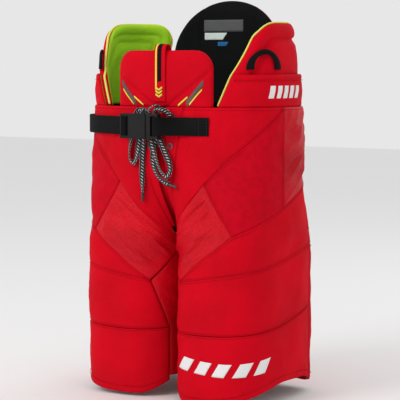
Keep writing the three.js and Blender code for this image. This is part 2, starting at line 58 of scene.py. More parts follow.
camera = bpy.data.objects.new("camera", bpy.data.cameras.new("camera"))
scene.collection.objects.link(camera)
camera.data.lens = camera.data.sensor_width * DISTANCE / VIEW_WIDTH
back = Vector(
    (
        math.sin(AZIMUTH) * math.cos(ELEVATION),
        -math.cos(AZIMUTH) * math.cos(ELEVATION),
        math.sin(ELEVATION),
    )
)
camera.location = AIM + back * DISTANCE
camera.rotation_euler = back.to_track_quat("Z", "Y").to_euler()
scene.camera = camera


def plain(name, colour, roughness):
    material = bpy.data.materials.new(name)
    material.use_nodes = True
    shader = material.node_tree.nodes["Principled BSDF"]
    shader.inputs["Base Color"].default_value = (*colour, 1)
    shader.inputs["Roughness"].default_value = roughness
    return material


bm = bmesh.new()
bmesh.ops.create_grid(bm, x_segments=1, y_segments=1, size=6)
floor_mesh = bpy.data.meshes.new("floor")
bm.to_mesh(floor_mesh)
bm.free()
floor = bpy.data.objects.new("floor", floor_mesh)
floor_mesh.materials.append(plain("pale_floor", (0.86, 0.86, 0.86), 0.9))
scene.collection.objects.link(floor)

world = bpy.data.worlds.new("studio")
scene.world = world
world.use_nodes = True
world.node_tree.nodes["Background"].inputs["Color"].default_value = (1, 1, 1, 1)
world.node_tree.nodes["Background"].inputs["Strength"].default_value = 0.8
for name, place, size, power in (
    ("key", (-0.7, -2.0, 1.7), 1.0, 21),
    ("fill", (1.9, -1.0, 0.9), 1.2, 1.5),
    ("rim", (0.6, 1.8, 1.7), 1.2, 6),
):
    light = bpy.data.objects.new(name, bpy.data.lights.new(name, "AREA"))
    light.data.size = size
    light.data.energy = power
    light.location = place
    light.rotation_euler = (Vector(place) - AIM).to_track_quat("Z", "Y").to_euler()
    scene.collection.objects.link(light)

# ---------------------------------------------------------------- finishes shared by the cloth
# Nylon, stretch knit, lining and webbing are all woven: fine threads and uneven dye.
MM = 0.001


def shader_node(tree, kind, **inputs):
    """A node with its inputs set by name, or by number as i0, i1.

    A number or colour is a value, a socket is a link.
    """
    node = tree.nodes.new(kind)
    for key, value in inputs.items():
        if key in ("operation", "data_type", "bands_direction"):
            setattr(node, key, value)
            continue
        numbered = key[0] == "i" and key[1:].isdigit()
        socket = node.inputs[int(key[1:]) if numbered else key]
        if isinstance(value, bpy.types.NodeSocket):
            tree.links.new(value, socket)
        else:
            socket.default_value = value
    return node


def worked(tree, operation, *values):
    """The output of a Math node."""
    inputs = {f"i{n}": value for n, value in enumerate(values)}
    return shader_node(tree, "ShaderNodeMath", operation=operation, **inputs).outputs[0]


def make_group(name, inputs, outputs):
    group = bpy.data.node_groups.new(name, "ShaderNodeTree")
    for key, kind, value in inputs:
        socket = group.interface.new_socket(name=key, in_out="INPUT", socket_type=kind)
        socket.default_value = value
    for key, kind in outputs:
        group.interface.new_socket(name=key, in_out="OUTPUT", socket_type=kind)
    return group, group.nodes.new("NodeGroupInput"), group.nodes.new("NodeGroupOutput")


# Cloth: two thread directions as height, and a dye that varies in patches and by thread.
cloth, cloth_in, cloth_out = make_group(
    "woven_cloth",
    [
        ("Vector", "NodeSocketVector", (0, 0, 0)),
        ("Color", "NodeSocketColor", (0.6, 0, 0, 1)),
        ("Shade", "NodeSocketColor", (0.4, 0, 0, 1)),
        ("Threads", "NodeSocketFloat", 900.0),
        ("Patches", "NodeSocketFloat", 14.0),
        ("Roughness", "NodeSocketFloat", 0.6),
    ],
    [("Color", "NodeSocketColor"), ("Height", "NodeSocketFloat"), ("Roughness", "NodeSocketFloat")],
)
spot = cloth_in.outputs["Vector"]
threads = []
for direction in ("X", "Y", "Z"):
    wave = shader_node(
        cloth, "ShaderNodeTexWave", Vector=spot, Scale=cloth_in.outputs["Threads"],
        bands_direction=direction, Distortion=0.6, Detail=1.0,
    )
    threads.append(wave.outputs["Fac"])
flat = worked(cloth, "MAXIMUM", threads[0], threads[1])
height = worked(cloth, "MULTIPLY", flat, threads[2])
patch = shader_node(
    cloth, "ShaderNodeTexNoise", Vector=spot, Scale=cloth_in.outputs["Patches"], Detail=4.0
)
speck = shader_node(cloth, "ShaderNodeTexNoise", Vector=spot, Scale=1400.0, Detail=1.0)
shade = worked(cloth, "MULTIPLY", patch.outputs["Fac"], speck.outputs["Fac"])
share = shader_node(cloth, "ShaderNodeMapRange", Value=shade, i1=0.14, i2=0.36, i3=1.0, i4=0.0)
dye = shader_node(
    cloth, "ShaderNodeMix", data_type="RGBA", Factor=share.outputs[0],
    i6=cloth_in.outputs["Color"], i7=cloth_in.outputs["Shade"],
)
rough = worked(
    cloth, "MULTIPLY_ADD", patch.outputs["Fac"], 0.16, cloth_in.outputs["Roughness"]
)
cloth.links.new(dye.outputs[2], cloth_out.inputs["Color"])
cloth.links.new(height, cloth_out.inputs["Height"])
cloth.links.new(rough, cloth_out.inputs["Roughness"])


def cloth_material(
    name, colour, shade, threads=900.0, rough=0.6, sheen=0.04, bump=0.3, wide=1.0, gloss=0.05,
    patches=14.0,
):
    """Woven or knitted cloth: a wide under 1 stretches its threads into ribs.

    The colour drifts towards shade in patches, which are smaller where patches is larger.
    """
    material = bpy.data.materials.new(name)
    material.use_nodes = True
    tree = material.node_tree
    shader = tree.nodes["Principled BSDF"]
    place = shader_node(tree, "ShaderNodeTexCoord")
    turn = shader_node(
        tree, "ShaderNodeMapping", Vector=place.outputs["Object"], Scale=(wide, wide, 1)
    )
    weave = tree.nodes.new("ShaderNodeGroup")
    weave.node_tree = cloth
    tree.links.new(turn.outputs["Vector"], weave.inputs["Vector"])
    weave.inputs["Color"].default_value = (*colour, 1)
    weave.inputs["Shade"].default_value = (*shade, 1)
    weave.inputs["Threads"].default_value = threads
    weave.inputs["Roughness"].default_value = rough
    weave.inputs["Patches"].default_value = patches
    bumps = shader_node(
        tree, "ShaderNodeBump", Strength=bump, Distance=0.0004, Height=weave.outputs["Height"]
    )
    tree.links.new(weave.outputs["Color"], shader.inputs["Base Color"])
    tree.links.new(weave.outputs["Roughness"], shader.inputs["Roughness"])
    tree.links.new(bumps.outputs["Normal"], shader.inputs["Normal"])
    shader.inputs["Sheen Weight"].default_value = sheen
    shader.inputs["Specular IOR Level"].default_value = gloss
    shader.inputs["Sheen Roughness"].default_value = 0.4
    shader.inputs["Sheen Tint"].default_value = (*[0.08 + 0.92 * c for c in colour], 1)
    return material


NYLON_RED = (0.68, 0.001, 0.012)
nylon = cloth_material("red_nylon", NYLON_RED, (0.52, 0.0008, 0.009))
# The hip panel's nylon is a darker red than the rest. Part of that is its heathered cloth, mottled
# at random, and part is painted shade where the hip lies in shade.
hip_nylon_painted_shade = cloth_material(
    "heathered_red_nylon_painted_shade", (0.6, 0.001, 0.013), (0.47, 0.0008, 0.01), threads=700.0, patches=110.0
)
stretch = cloth_material(
    "ribbed_stretch_knit", (0.74, 0.002, 0.014), (0.42, 0.0008, 0.008), threads=420.0, rough=0.3,
    sheen=0.0, bump=0.5, wide=0.35, gloss=0.12,
)
lime = cloth_material(
    "lime_lining", (0.44, 0.8, 0.035), (0.3, 0.6, 0.02), threads=500.0, rough=0.8, sheen=0.25,
    bump=0.4,
)
piping_lime = cloth_material(
    "pale_lime_piping", (0.8, 0.86, 0.2), (0.66, 0.75, 0.12), threads=600.0
)
black_lining = cloth_material(
    "black_lining", (0.009, 0.009, 0.01), (0.005, 0.005, 0.006), threads=500.0, rough=0.8, sheen=0.1
)
webbing = cloth_material(
    "black_webbing", (0.01, 0.01, 0.011), (0.004, 0.004, 0.004), threads=420.0, sheen=0.1, bump=0.8
)

# ---------------------------------------------------------------- the lace
# One flat woven polyester lace through the fly's eyelets, tied in a bow over the belt. It is
# black with a white fleck, and each end is pressed into a hard tip.
BODY = Vector((1.65, 11, 0))  # the body's middle from the origin, in millimetres
LACE_WIDTH = 8.0
LACE_THICK = 1.7
KNOT_LOW, KNOT_SQUEEZE = 397, 0.66  # the lace is pulled narrow in the knot, above this height
LEFT_LACE = [
    (-20, -100.6, 389), (-23, -104, 395.5), (-30, -105.2, 397), (-36, -104.4, 388),
    (-41, -103.4, 372), (-46, -102.4, 354), (-49, -101.8, 340), (-48, -101.6, 329),
    (-42, -101.6, 325), (-37, -102, 332), (-33, -102.8, 347), (-30, -103.6, 362),
    (-28, -104.4, 378), (-26.5, -105, 389), (-23.5, -108, 397.5), (-19, -108.4, 399),
    (-17.5, -105.4, 394), (-19.5, -104.4, 385), (-22, -103.4, 372), (-25, -101.8, 356),
    (-27, -101, 336), (-28, -100.8, 316), (-28, -100.6, 298), (-28, -100, 284),
]
RIGHT_LACE = [
    (20, -100.6, 389), (15, -103.6, 395.5), (7, -106.6, 399), (-2, -106.6, 398.5), (-7, -105, 391),
    (-5, -104.4, 380), (2, -104.4, 362), (11, -104.4, 344), (19, -104.4, 328), (21, -104.4, 316),
    (15, -104.4, 308), (6, -104.4, 314), (-2, -104.4, 330), (-9, -104.4, 350), (-13, -104.4, 370),
    (-13.8, -104.6, 387), (-11.5, -108, 397), (-6, -111, 402), (0, -110, 404.5), (4, -105.4, 404.5),
    (3, -101.6, 400), (0, -100.6, 390), (-3, -100.4, 372), (-7, -100.4, 352), (-10, -100.4, 334),
    (-8, -100.6, 318), (0, -100.8, 306), (9, -100.8, 300), (18, -100.8, 297),
]


def smooth_line(points, step):
    """Points every step along a centripetal Catmull-Rom curve through the given ones."""
    pts = [Vector(p) for p in points]
    pts = [2 * pts[0] - pts[1], *pts, 2 * pts[-1] - pts[-2]]
    dense = []
    for p0, p1, p2, p3 in zip(pts, pts[1:], pts[2:], pts[3:]):
        t1 = (p1 - p0).length ** 0.5
        t2 = t1 + (p2 - p1).length ** 0.5
        t3 = t2 + (p3 - p2).length ** 0.5
        for i in range(24):
            t = t1 + (t2 - t1) * i / 24
            a1 = p0.lerp(p1, t / t1)
            a2 = p1.lerp(p2, (t - t1) / (t2 - t1))
            a3 = p2.lerp(p3, (t - t2) / (t3 - t2))
            b1 = a1.lerp(a2, t / t2)
            b2 = a2.lerp(a3, (t - t1) / (t3 - t1))
            dense.append(b1.lerp(b2, (t - t1) / (t2 - t1)))
    dense.append(pts[-2])
    line, left = [dense[0]], step
    for a, b in zip(dense, dense[1:]):
        run = (b - a).length
        while run >= left:
            a = a.lerp(b, left / run)
            line.append(a)
            run, left = (b - a).length, step
        left -= run
    return line


def new_piece(name, bm, materials, body, slot, nodes=(), turn=True):
    """The finished piece: placed by its mesh, riding on a body, standing for CAD nodes."""
    if turn:
        bmesh.ops.recalc_face_normals(bm, faces=bm.faces[:])
    for face in bm.faces:
        face.smooth = True
    mesh = bpy.data.meshes.new(name)
    bm.to_mesh(mesh)
    bm.free()
    for material in (materials * 2)[:2]:  # one cloth alone serves both faces
        mesh.materials.append(material)
    piece = bpy.data.objects.new(name, mesh)
    scene.collection.objects.link(piece)
    if body:
        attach(piece, body)
    if nodes:
        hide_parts(*nodes)
    return piece


def sweep(bm, line, section, facing):
    """Skins a section along a line. facing(i) is the way the section's second axis points."""
    rings, lengths = [], []
    uv = bm.loops.layers.uv.verify()
    around = len(section)
    run = 0.0
    for i, p in enumerate(line):
        along = (line[min(i + 1, len(line) - 1)] - line[max(i - 1, 0)]).normalized()
        out = facing(i)
        out = (out - along * out.dot(along)).normalized()
        side = along.cross(out)
        run += (p - line[i - 1]).length if i else 0.0
        lengths.append(run)
        rings.append([bm.verts.new((p + side * a + out * b) * MM) for a, b in section])
    for i in range(len(rings) - 1):
        for k in range(around):
            n = (k + 1) % around
            face = bm.faces.new((rings[i][k], rings[i][n], rings[i + 1][n], rings[i + 1][k]))
            for loop, u, v in zip(face.loops, (i, i, i + 1, i + 1), (k, k + 1, k + 1, k)):
                loop[uv].uv = (lengths[u] * MM, v / around)
    bm.faces.new(rings[0][::-1])
    bm.faces.new(rings[-1])
    return rings


def flat_section(width, thick):
    """A flat strap's outline with rounded edges, width by thick."""
    a, b = width / 2, thick / 2
    inner = [(-a + b, b), (-a / 3, b), (a / 3, b), (a - b, b), (a - 0.3 * b, 0.7 * b), (a, 0)]
    return inner + [(-x, -y) for x, y in inner]


def round_section(radius, sides):
    turns = [a / sides * math.tau for a in range(sides)]
    return [(radius * math.cos(turn), radius * math.sin(turn)) for turn in turns]


FLECK_PITCH = 0.0042  # from one row of white flecks to the next, in metres
lace = bpy.data.materials.new("flecked_lace")
lace.use_nodes = True
tree = lace.node_tree
shader = tree.nodes["Principled BSDF"]
unwrapped = shader_node(tree, "ShaderNodeUVMap")
parts = shader_node(tree, "ShaderNodeSeparateXYZ", Vector=unwrapped.outputs[0])
slant = worked(tree, "MULTIPLY_ADD", parts.outputs[1], 0.02, parts.outputs[0])
beat = worked(tree, "MULTIPLY", slant, 2 * math.pi / FLECK_PITCH)
ticks = worked(tree, "SINE", beat)
across = worked(tree, "MULTIPLY", parts.outputs[1], 4 * math.pi)
lanes = worked(tree, "SINE", across)
fleck = worked(tree, "MULTIPLY", ticks, lanes)
mask = shader_node(tree, "ShaderNodeMapRange", Value=fleck, i1=0.58, i2=0.72, i3=0.0, i4=1.0)
grain = shader_node(tree, "ShaderNodeTexNoise", Scale=700.0, Detail=2.0)
worn = worked(tree, "MULTIPLY", mask.outputs[0], grain.outputs["Fac"])
bright = worked(tree, "MULTIPLY", worn, 1.7)
tone = shader_node(
    tree, "ShaderNodeMix", data_type="RGBA", Factor=bright,
    i6=(0.016, 0.016, 0.018, 1), i7=(0.85, 0.85, 0.85, 1),
)
tree.links.new(tone.outputs[2], shader.inputs["Base Color"])
shader.inputs["Roughness"].default_value = 0.6
shader.inputs["Sheen Weight"].default_value = 0.15
shader.inputs["Specular IOR Level"].default_value = 0.2
knit = shader_node(
    tree, "ShaderNodeTexWave", Vector=unwrapped.outputs[0], Scale=600.0, Distortion=1.0
)
ridge = shader_node(
    tree, "ShaderNodeBump", Strength=0.5, Distance=0.0005, Height=knit.outputs["Fac"]
)
tree.links.new(ridge.outputs["Normal"], shader.inputs["Normal"])

tip_plastic = plain("lace_tip_plastic", (0.02, 0.02, 0.02), 0.25)
# Places along the hard tip from the lace's end, and its radius there, in millimetres.
TIP_PROFILE = [(-1.0, 2.1), (0.5, 2.1), (1.5, 2.0), (6, 1.8), (11, 1.7), (12.4, 1.4), (13, 0.6)]
for side, route, swing in (("left", LEFT_LACE, 1.0), ("right", RIGHT_LACE, -0.8)):
    line = [p + BODY for p in smooth_line(route, 1.5)]

    def lace_facing(i, line=line, swing=swing):
        """The lace lies flat on the front, and turns on edge and back where it bends."""
        twist = swing * math.sin(i * 0.085) * 0.9
        return Vector((math.sin(twist), -math.cos(twist), 0.25 * math.sin(i * 0.05)))

    bm = bmesh.new()
    rings = sweep(bm, line, flat_section(LACE_WIDTH, LACE_THICK), lace_facing)
    for p, ring in zip(line, rings):
        pulled = 1 - KNOT_SQUEEZE * max(0.0, min(1.0, (p.z - KNOT_LOW) / 5))
        for vert in ring:
            vert.co = p * MM + (vert.co - p * MM) * pulled
    piece = new_piece(
        f"bow_lace_{side}", bm, [lace], "shell", "lace_cord", (f"lace_{side}",)
    )
    way = (line[-1] - line[-4]).normalized()
    bm = bmesh.new()
    tip_line = [line[-1] + way * reach for reach, _ in TIP_PROFILE]
    rings = sweep(bm, tip_line, round_section(1, 10), lambda i: Vector((0.2, -1, 0.1)))
    for p, ring, (_, radius) in zip(tip_line, rings, TIP_PROFILE):
        for vert in ring:
            vert.co = p * MM + (vert.co - p * MM) * radius
    tip = new_piece(
        f"lace_end_tip_{side}", bm, [tip_plastic], "shell", "lace_tip_plastic",
        (f"lace_tip_{side}",),
    )
    length = sum((b - a).length for a, b in zip(line, line[1:])) * MM

# ---------------------------------------------------------------- the shell's padded panels
# Panels of heavy nylon over foam, cut to the leg and hip, sewn edge to edge so that each one
# crowns between its seams. Stretch knit joins them at the groin, side, seat and inner leg.
SIDES = (("left", 1), ("right", -1))
WAIST_HALF_WIDTH, WAIST_FRONT, WAIST_BACK, WAIST_POWER = 150, 97, 92, 2.6
LEG_HALF_WIDTH, LEG_FRONT, LEG_BACK, LEG_POWER = 74, 101, 98, 3
LEG_CENTRE = 75.5
CROTCH_Z, TORSO_Z, WAIST_Z = 200, 320, 402
SEAM_GAP = 0.8
SKIN = 4.0
HALF_GIRTH = 430
INNER_ANGLE = 62


def oval(degrees, half_width, front, rear, power):
    a = math.radians(degrees)
    depth = front if math.cos(a) > 0 else rear
    reach = abs(math.sin(a) / half_width) ** power + abs(math.cos(a) / depth) ** power
    r = reach ** (-1 / power)
    return Vector((r * math.sin(a), -r * math.cos(a)))


def ease(v):
    v = min(1.0, max(0.0, v))
    return v * v * (3 - 2 * v)


def mix(a, b, k):
    return a + (b - a) * k


def outline(t, z):
    """The shell's face at one height: the leg's oval, which widens into the waist's."""
    torso = oval(180 * t, WAIST_HALF_WIDTH, WAIST_FRONT, WAIST_BACK, WAIST_POWER)
    round_leg = -INNER_ANGLE + (180 + 2 * INNER_ANGLE) * t
    leg = oval(round_leg, LEG_HALF_WIDTH, LEG_FRONT, LEG_BACK, LEG_POWER)
    leg.x += LEG_CENTRE
    return leg.lerp(torso, ease((z - CROTCH_Z) / (TORSO_Z - CROTCH_Z)))


def shell_point(t, z, out=0.0):
    """A point of the left half: t runs from the front centre over the side to the back centre."""
    along = (outline(t + 0.002, z) - outline(t - 0.002, z)).normalized()
    p = outline(t, z)
    return Vector((p.x + along.y * out, p.y - along.x * out, z))


HIP_HANG = 8  # the right hip bags out by this much more than the left


def hang(p, side):
    """How far a point of the right half moves outwards: most at the hip, less up the wing."""
    if side > 0:
        return 0.0
    up_the_wing = mix(1, 0.3, ease((p.z - 440) / 50))
    return HIP_HANG * ease((p.z - 225) / 60) * ease(p.x / WAIST_HALF_WIDTH) * up_the_wing


def placed(p, side, bags=True):
    """Millimetres of one half to metres in the frame. side is 1 on the left, -1 on the right."""
    x = p.x + (hang(p, side) if bags else 0.0)
    return Vector(((side * x + BODY.x) * MM, (p.y + BODY.y) * MM, p.z * MM))


def bent_slab(across, up, place, bm=None):
    """A grid and a second one extruded from it, bent into place by place(u, v, outer).

    Its inner faces take the piece's second material.
    """
    bm = bm or bmesh.new()
    grid = bmesh.ops.create_grid(bm, x_segments=across, y_segments=up, size=0.5)
    inner = grid["verts"]
    faces = list({f for v in inner for f in v.link_faces})
    made = bmesh.ops.extrude_face_region(bm, geom=faces)
    outer = [v for v in made["geom"] if isinstance(v, bmesh.types.BMVert)]
    for face in faces:
        face.material_index = 1
    for verts, layer in ((inner, False), (outer, True)):
        for v in verts:
            v.co = place(v.co.x + 0.5, v.co.y + 0.5, layer)
    return bm


def drawn_in(corners, gap=0.1):
    """The corners of a panel whose edges are each moved inwards by half the gap."""
    flat = [Vector((t * HALF_GIRTH, z)) for t, z in corners]
    lines = []
    for a, b in zip(flat, flat[1:] + flat[:1]):
        way = (b - a).normalized()
        lines.append((a + Vector((-way.y, way.x)) * gap / 2, way))
    found = []
    for i, (p, way) in enumerate(lines):
        q, before = lines[i - 1]
        apart = p - q
        s = (apart.x * way.y - apart.y * way.x) / (before.x * way.y - before.y * way.x)
        corner = q + before * s
        found.append((corner.x / HALF_GIRTH, corner.y))
    return found


def crown(edge, puff, roll=2.4, sink=0.75):
    """Height of a stuffed panel at a distance from its nearest seam, in millimetres."""
    near = min(1.0, edge / roll)
    return -sink * (1 - math.sqrt(max(0.0, 1 - (1 - near) ** 2))) + puff * ease(edge / 34)


def on_seam(a, b, t):
    """The point at t of the seam that runs through a and b."""
    return (t, mix(a[1], b[1], (t - a[0]) / (b[0] - a[0])))


# The seams' corners, as (t, height).
CROTCH = (0.01, 208)
GROIN_FOOT = (0.105, 163)
HIP_CORNER = (0.2, 299)
THIGH_CORNER = (0.28, 230)
SIDE, BACK_SEAM = 0.46, 0.63
SIDE_LOW = (SIDE, 267)
SIDE_HIGH = (SIDE, WAIST_Z)
BACK_MIDDLE = on_seam(THIGH_CORNER, SIDE_LOW, BACK_SEAM)
THIGH_TOP = (BACK_SEAM, 209)
FLEX_Z = 228
FLY_SEAM = 0.115
THIGH_EDGE = 0.05
HEM_SEAM = (96, 127)  # heights of the hem band's seam at its front and back end
HEM_RISE = 28  # the hem curves up by this much at the outer side
SAG = 12  # the hem seam bows down by this much in its middle
RIGHT_SHORT = 5  # the right hem hangs this much higher in front
BACK_SHORT = 0.42  # share of the rise that the hem keeps behind


def hem(t, side):
    """Height of the hem's lower edge, which curves up at the outer side and at the inner leg."""
    outer = ease((t - 0.2) / 0.27) * mix(BACK_SHORT, 1, ease((0.72 - t) / 0.14))
    inner = ease((0.14 - t) / 0.14)
    low = 0 if side > 0 else RIGHT_SHORT
    return mix(low, HEM_RISE, max(outer, inner))


def crease(t, z, size, seed, squeeze=1.0):
    """Soft folds of cloth, longer along z where squeeze is over 1."""
    spot = Vector((t * HALF_GIRTH / size, z / size / squeeze, seed))
    return noise.noise(spot) + 0.5 * noise.noise(spot * 2.1)


def nylon_folds(t, z):
    return 2.1 * crease(t, z, 44, 3.1) + 0.45 * crease(t, z, 14, 5.2)


def waist_folds(t, z):
    """Shallow pulls under the waist seam and long soft folds down the front."""
    pull = noise.noise(Vector((t * HALF_GIRTH / 16, z / 60, 4.4)))
    return nylon_folds(t, z) + 1.5 * pull * ease((z - 300) / 60)


def hip_folds(t, z):
    a, b = t * HALF_GIRTH, z
    slip, along = a * 0.5 + b * 0.86, a * 0.86 - b * 0.5
    return 1.6 * noise.noise(Vector((slip / 20, along / 60, 8.1))) + 0.7 * nylon_folds(t, z)


RIB_PITCH = 3.4


def knit_folds(t, z):
    """Long drawn wrinkles that run down and in towards the crotch."""
    a, b = t * HALF_GIRTH, z
    slip = a * 0.62 - b * 0.78
    along = a * 0.78 + b * 0.62
    deep = 1 - 3 * abs(noise.noise(Vector((slip / 15, along / 60, 1.7))))
    fine = noise.noise(Vector((slip / 5, along / 40, 9.3)))
    rib = math.sin(slip * 2 * math.pi / RIB_PITCH)
    return max(-2.2, 3.4 * deep + 1.1 * fine - 1.6) + 0.1 * rib


def seat_folds(t, z):
    return 1.3 * crease(t, z, 26, 7.7, 0.5)


THIGH_FRONT = [(THIGH_EDGE, HEM_SEAM[0]), (BACK_SEAM, HEM_SEAM[1]), THIGH_TOP, GROIN_FOOT]
# name, corners, seam bow, crown, folds, cloth, slot
PANELS = [
    ("front_panel", [CROTCH, HIP_CORNER, SIDE_HIGH, (FLY_SEAM, WAIST_Z)], 0, 2.0, waist_folds,
     nylon, "red_fabric"),
    # the hip panel's darker nylon carries painted shade
    ("hip_panel", [THIGH_CORNER, SIDE_LOW, SIDE_HIGH, HIP_CORNER], 0, 4.4, hip_folds, hip_nylon_painted_shade,
     "red_fabric"),
    ("side_stretch_panel", [SIDE_LOW, BACK_MIDDLE, (BACK_SEAM, WAIST_Z), SIDE_HIGH], 0, 3.6,
     knit_folds, stretch, "stretch_fabric"),
    ("seat_panel", [(BACK_SEAM, FLEX_Z), (1, FLEX_Z), (1, WAIST_Z), (BACK_SEAM, WAIST_Z)], 0, 3.0,
     nylon_folds, nylon, "red_fabric"),
    ("groin_gusset", [GROIN_FOOT, THIGH_CORNER, HIP_CORNER, CROTCH], 0, 0.5, knit_folds, stretch,
     "stretch_fabric"),
    ("upper_thigh_panel", [GROIN_FOOT, THIGH_TOP, BACK_MIDDLE, THIGH_CORNER], 0, 2.2, nylon_folds,
     nylon, "red_fabric"),
    ("seat_stretch_panel", [THIGH_TOP, (1, THIGH_TOP[1]), (1, FLEX_Z), (BACK_SEAM, FLEX_Z)], 0, 0.3,
     seat_folds, stretch, "stretch_fabric"),
    ("thigh_panel", THIGH_FRONT, SAG, 2.2, nylon_folds, nylon, "red_fabric"),
]


for name, corners, bow, puff, folds, material, slot in PANELS:
    a, b, c, d = drawn_in(corners)
    for word, side in SIDES:

        def panel_place(
            u, v, outer, a=a, b=b, c=c, d=d, bow=bow, puff=puff, folds=folds, side=side
        ):
            t = mix(mix(a[0], b[0], u), mix(d[0], c[0], u), v)
            low = mix(a[1], b[1], u) - bow * 4 * u * (1 - u)
            z = mix(low, mix(d[1], c[1], u), v)
            if not outer:
                return placed(shell_point(t, z, -SKIN), side)
            wide = mix(abs(b[0] - a[0]), abs(c[0] - d[0]), v) * HALF_GIRTH * 0.8
            tall = mix(d[1] - a[1], c[1] - b[1], u) * 0.8
            edge = min(min(u, 1 - u) * wide, min(v, 1 - v) * abs(tall))
            lift = crown(edge, puff) + folds(t, z) * ease(edge / 10)
            return placed(shell_point(t, z, lift), side)

        fine = 2 if name == "groin_gusset" else 1  # its sharp wrinkles need a closer grid
        bm = bent_slab(56 * fine, 40 * fine, panel_place)
        new_piece(
            f"padded_{name}_{word}", bm, [material, black_lining], "shell", slot,
            (f"{name}_{word}",),
        )

# ---------------------------------------------------------------- hem bands and the leg's back
# The hem band is the lowest padded panel, turned under and topstitched. The back of the leg is
# one plain panel, and the inner leg is the same stretch knit as the groin.
hem_low, hem_high = drawn_in(THIGH_FRONT)[:2]
for word, side in SIDES:

    def hem_place(u, v, outer, side=side):
        t = mix(hem_low[0], hem_high[0], u)
        top = mix(hem_low[1], hem_high[1], u) - SAG * 4 * u * (1 - u) - SEAM_GAP
        z = mix(hem(t, side), top, v)
        if not outer:
            return placed(shell_point(t, z, -SKIN), side)
        edge = min(min(u, 1 - u) * 200, min(v, 1 - v) * (top - hem(t, side)))
        lift = crown(edge, 1.4) + nylon_folds(t, z) * ease(edge / 10)
        return placed(shell_point(t, z, lift), side)

    new_piece(
        f"padded_hem_band_{word}", bent_slab(64, 36, hem_place), [nylon], "shell", "red_fabric",
        (f"hem_band_{word}",),
    )

    def back_place(u, v, outer, side=side):
        t = mix(BACK_SEAM + 0.001, 0.999, u)
        z = mix(hem(t, side), THIGH_TOP[1] - 0.4, v)
        if not outer:
            return placed(shell_point(t, z, -SKIN), side)
        edge = min(min(u, 1 - u) * 160, min(v, 1 - v) * 205)
        lift = crown(edge, 2.4) + nylon_folds(t, z) * ease(edge / 10)
        return placed(shell_point(t, z, lift), side)

    new_piece(
        f"padded_leg_back_{word}", bent_slab(44, 56, back_place), [nylon], "shell", "red_fabric",
        (f"back_thigh_panel_{word}",),
    )
    inner_end = 1 + (180 - 2 * INNER_ANGLE) / (180 + 2 * INNER_ANGLE)
    inner_start = 1 + SEAM_GAP / 2 / HALF_GIRTH

    def inner_place(u, v, outer, side=side):
        groin = on_seam(CROTCH, GROIN_FOOT, mix(inner_start - inner_end, GROIN_FOOT[0], u))[1]
        high = min(CROTCH_Z - 0.6, groin - 2 * SEAM_GAP)
        low = mix(hem(1, side), HEM_RISE, math.sin(min(1, 1.35 * u) * 0.5 * math.pi))
        z = mix(low, high, v)
        rise = min(1, max(0, (z - HEM_SEAM[0]) / (GROIN_FOOT[1] - HEM_SEAM[0])))
        front = mix(THIGH_EDGE, GROIN_FOOT[0], rise) - SEAM_GAP / HALF_GIRTH
        t = mix(inner_start, inner_end + front, u)
        if not outer:
            return placed(shell_point(t, z, -SKIN), side)
        edge = min(min(u, 1 - u) * 90, min(v, 1 - v) * 170)
        lift = crown(edge, 0.0) + 0.35 * knit_folds(t, z) * ease(edge / 8) - 0.6
        return placed(shell_point(t, z, lift), side)

    new_piece(
        f"inner_leg_knit_{word}", bent_slab(36, 56, inner_place), [stretch], "shell",
        "stretch_fabric", (f"inner_leg_panel_{word}",),
    )

# ---------------------------------------------------------------- belt band
# A padded band of nylon round the waist, open at the front, sewn on the panels' top edge with
# its upper edge turned over. A row of plain slanted dashes is printed on the left hip.
BAND_TALL = 44
BAND_TOP = WAIST_Z + BAND_TALL
BAND_INSET = 2
BAND_STITCH = 8  # the topstitching runs this far below the band's upper edge
BAND_LOW_FRONT, BAND_HIGH_FRONT = 0.247, 0.293
RIGHT_OPENS = 0.045  # the right side hangs further open than the left


def opening(side):
    return 0 if side > 0 else RIGHT_OPENS


def band_face(t, z, edge, from_top):
    """Height of the band's outer cloth: crowned, with a dip along the topstitching."""
    stitched = math.exp(-((from_top - BAND_STITCH) ** 2) / 2.2)
    soft = crease(t, z, 30, 2.2) * ease(edge / 10)
    return crown(edge, 2.2, 4.0, 1.6) + soft - BAND_INSET - 0.7 * stitched


for word, side in SIDES:

    def band_place(u, v, outer, side=side):
        z = mix(WAIST_Z - 0.3, BAND_TOP, v)
        t = mix(mix(BAND_LOW_FRONT, BAND_HIGH_FRONT, v) + opening(side), 0.9995, u)
        edge = min(u * 310, v * BAND_TALL, (1 - v) * BAND_TALL)
        if not outer:
            return placed(shell_point(t, z, -BAND_INSET - SKIN + 0.8 * (1 - ease(edge / 4))), side)
        return placed(shell_point(t, z, band_face(t, z, edge, (1 - v) * BAND_TALL)), side)

    new_piece(
        f"padded_belt_band_{word}", bent_slab(110, 26, band_place), [nylon], "shell", "red_fabric",
        (f"belt_band_{word}",),
    )


white_print = cloth_material(
    "white_print", (0.86, 0.86, 0.85), (0.74, 0.74, 0.73), rough=0.45, sheen=0.0
)


def band_lift(t, z):
    """The same height away from the band's ends, for what is printed on it."""
    return band_face(t, z, min(z - WAIST_Z, BAND_TOP - z), BAND_TOP - z)


DASHES = 5
DASH_SHARE = 0.62  # of each dash's pitch that is printed


def dashes(name, start, end, low, high, slant, bow, lift):
    """Plain slanted dashes side by side on the left half, lying on the cloth."""
    bm = bmesh.new()
    pitch = (end - start) / DASHES
    for i in range(DASHES):
        left = start + pitch * i

        def place(u, v, outer, left=left):
            t = left + pitch * DASH_SHARE * u + slant * v
            z = mix(low, high, v) + bow * ((2 * t - start - end) / (end - start)) ** 2
            return placed(shell_point(t, z, lift(t, z) + (0.5 if outer else -0.4)), 1)

        bent_slab(10, 8, place, bm)
    new_piece(name, bm, [white_print], "shell", "red_fabric")


dashes("band_dashes_left", 0.4, 0.545, 414, 431, 0.008, 0, band_lift)
dashes("hem_dashes_left", 0.12, 0.385, 41, 59, 0.02, 7, lambda t, z: 1.9 + nylon_folds(t, z))

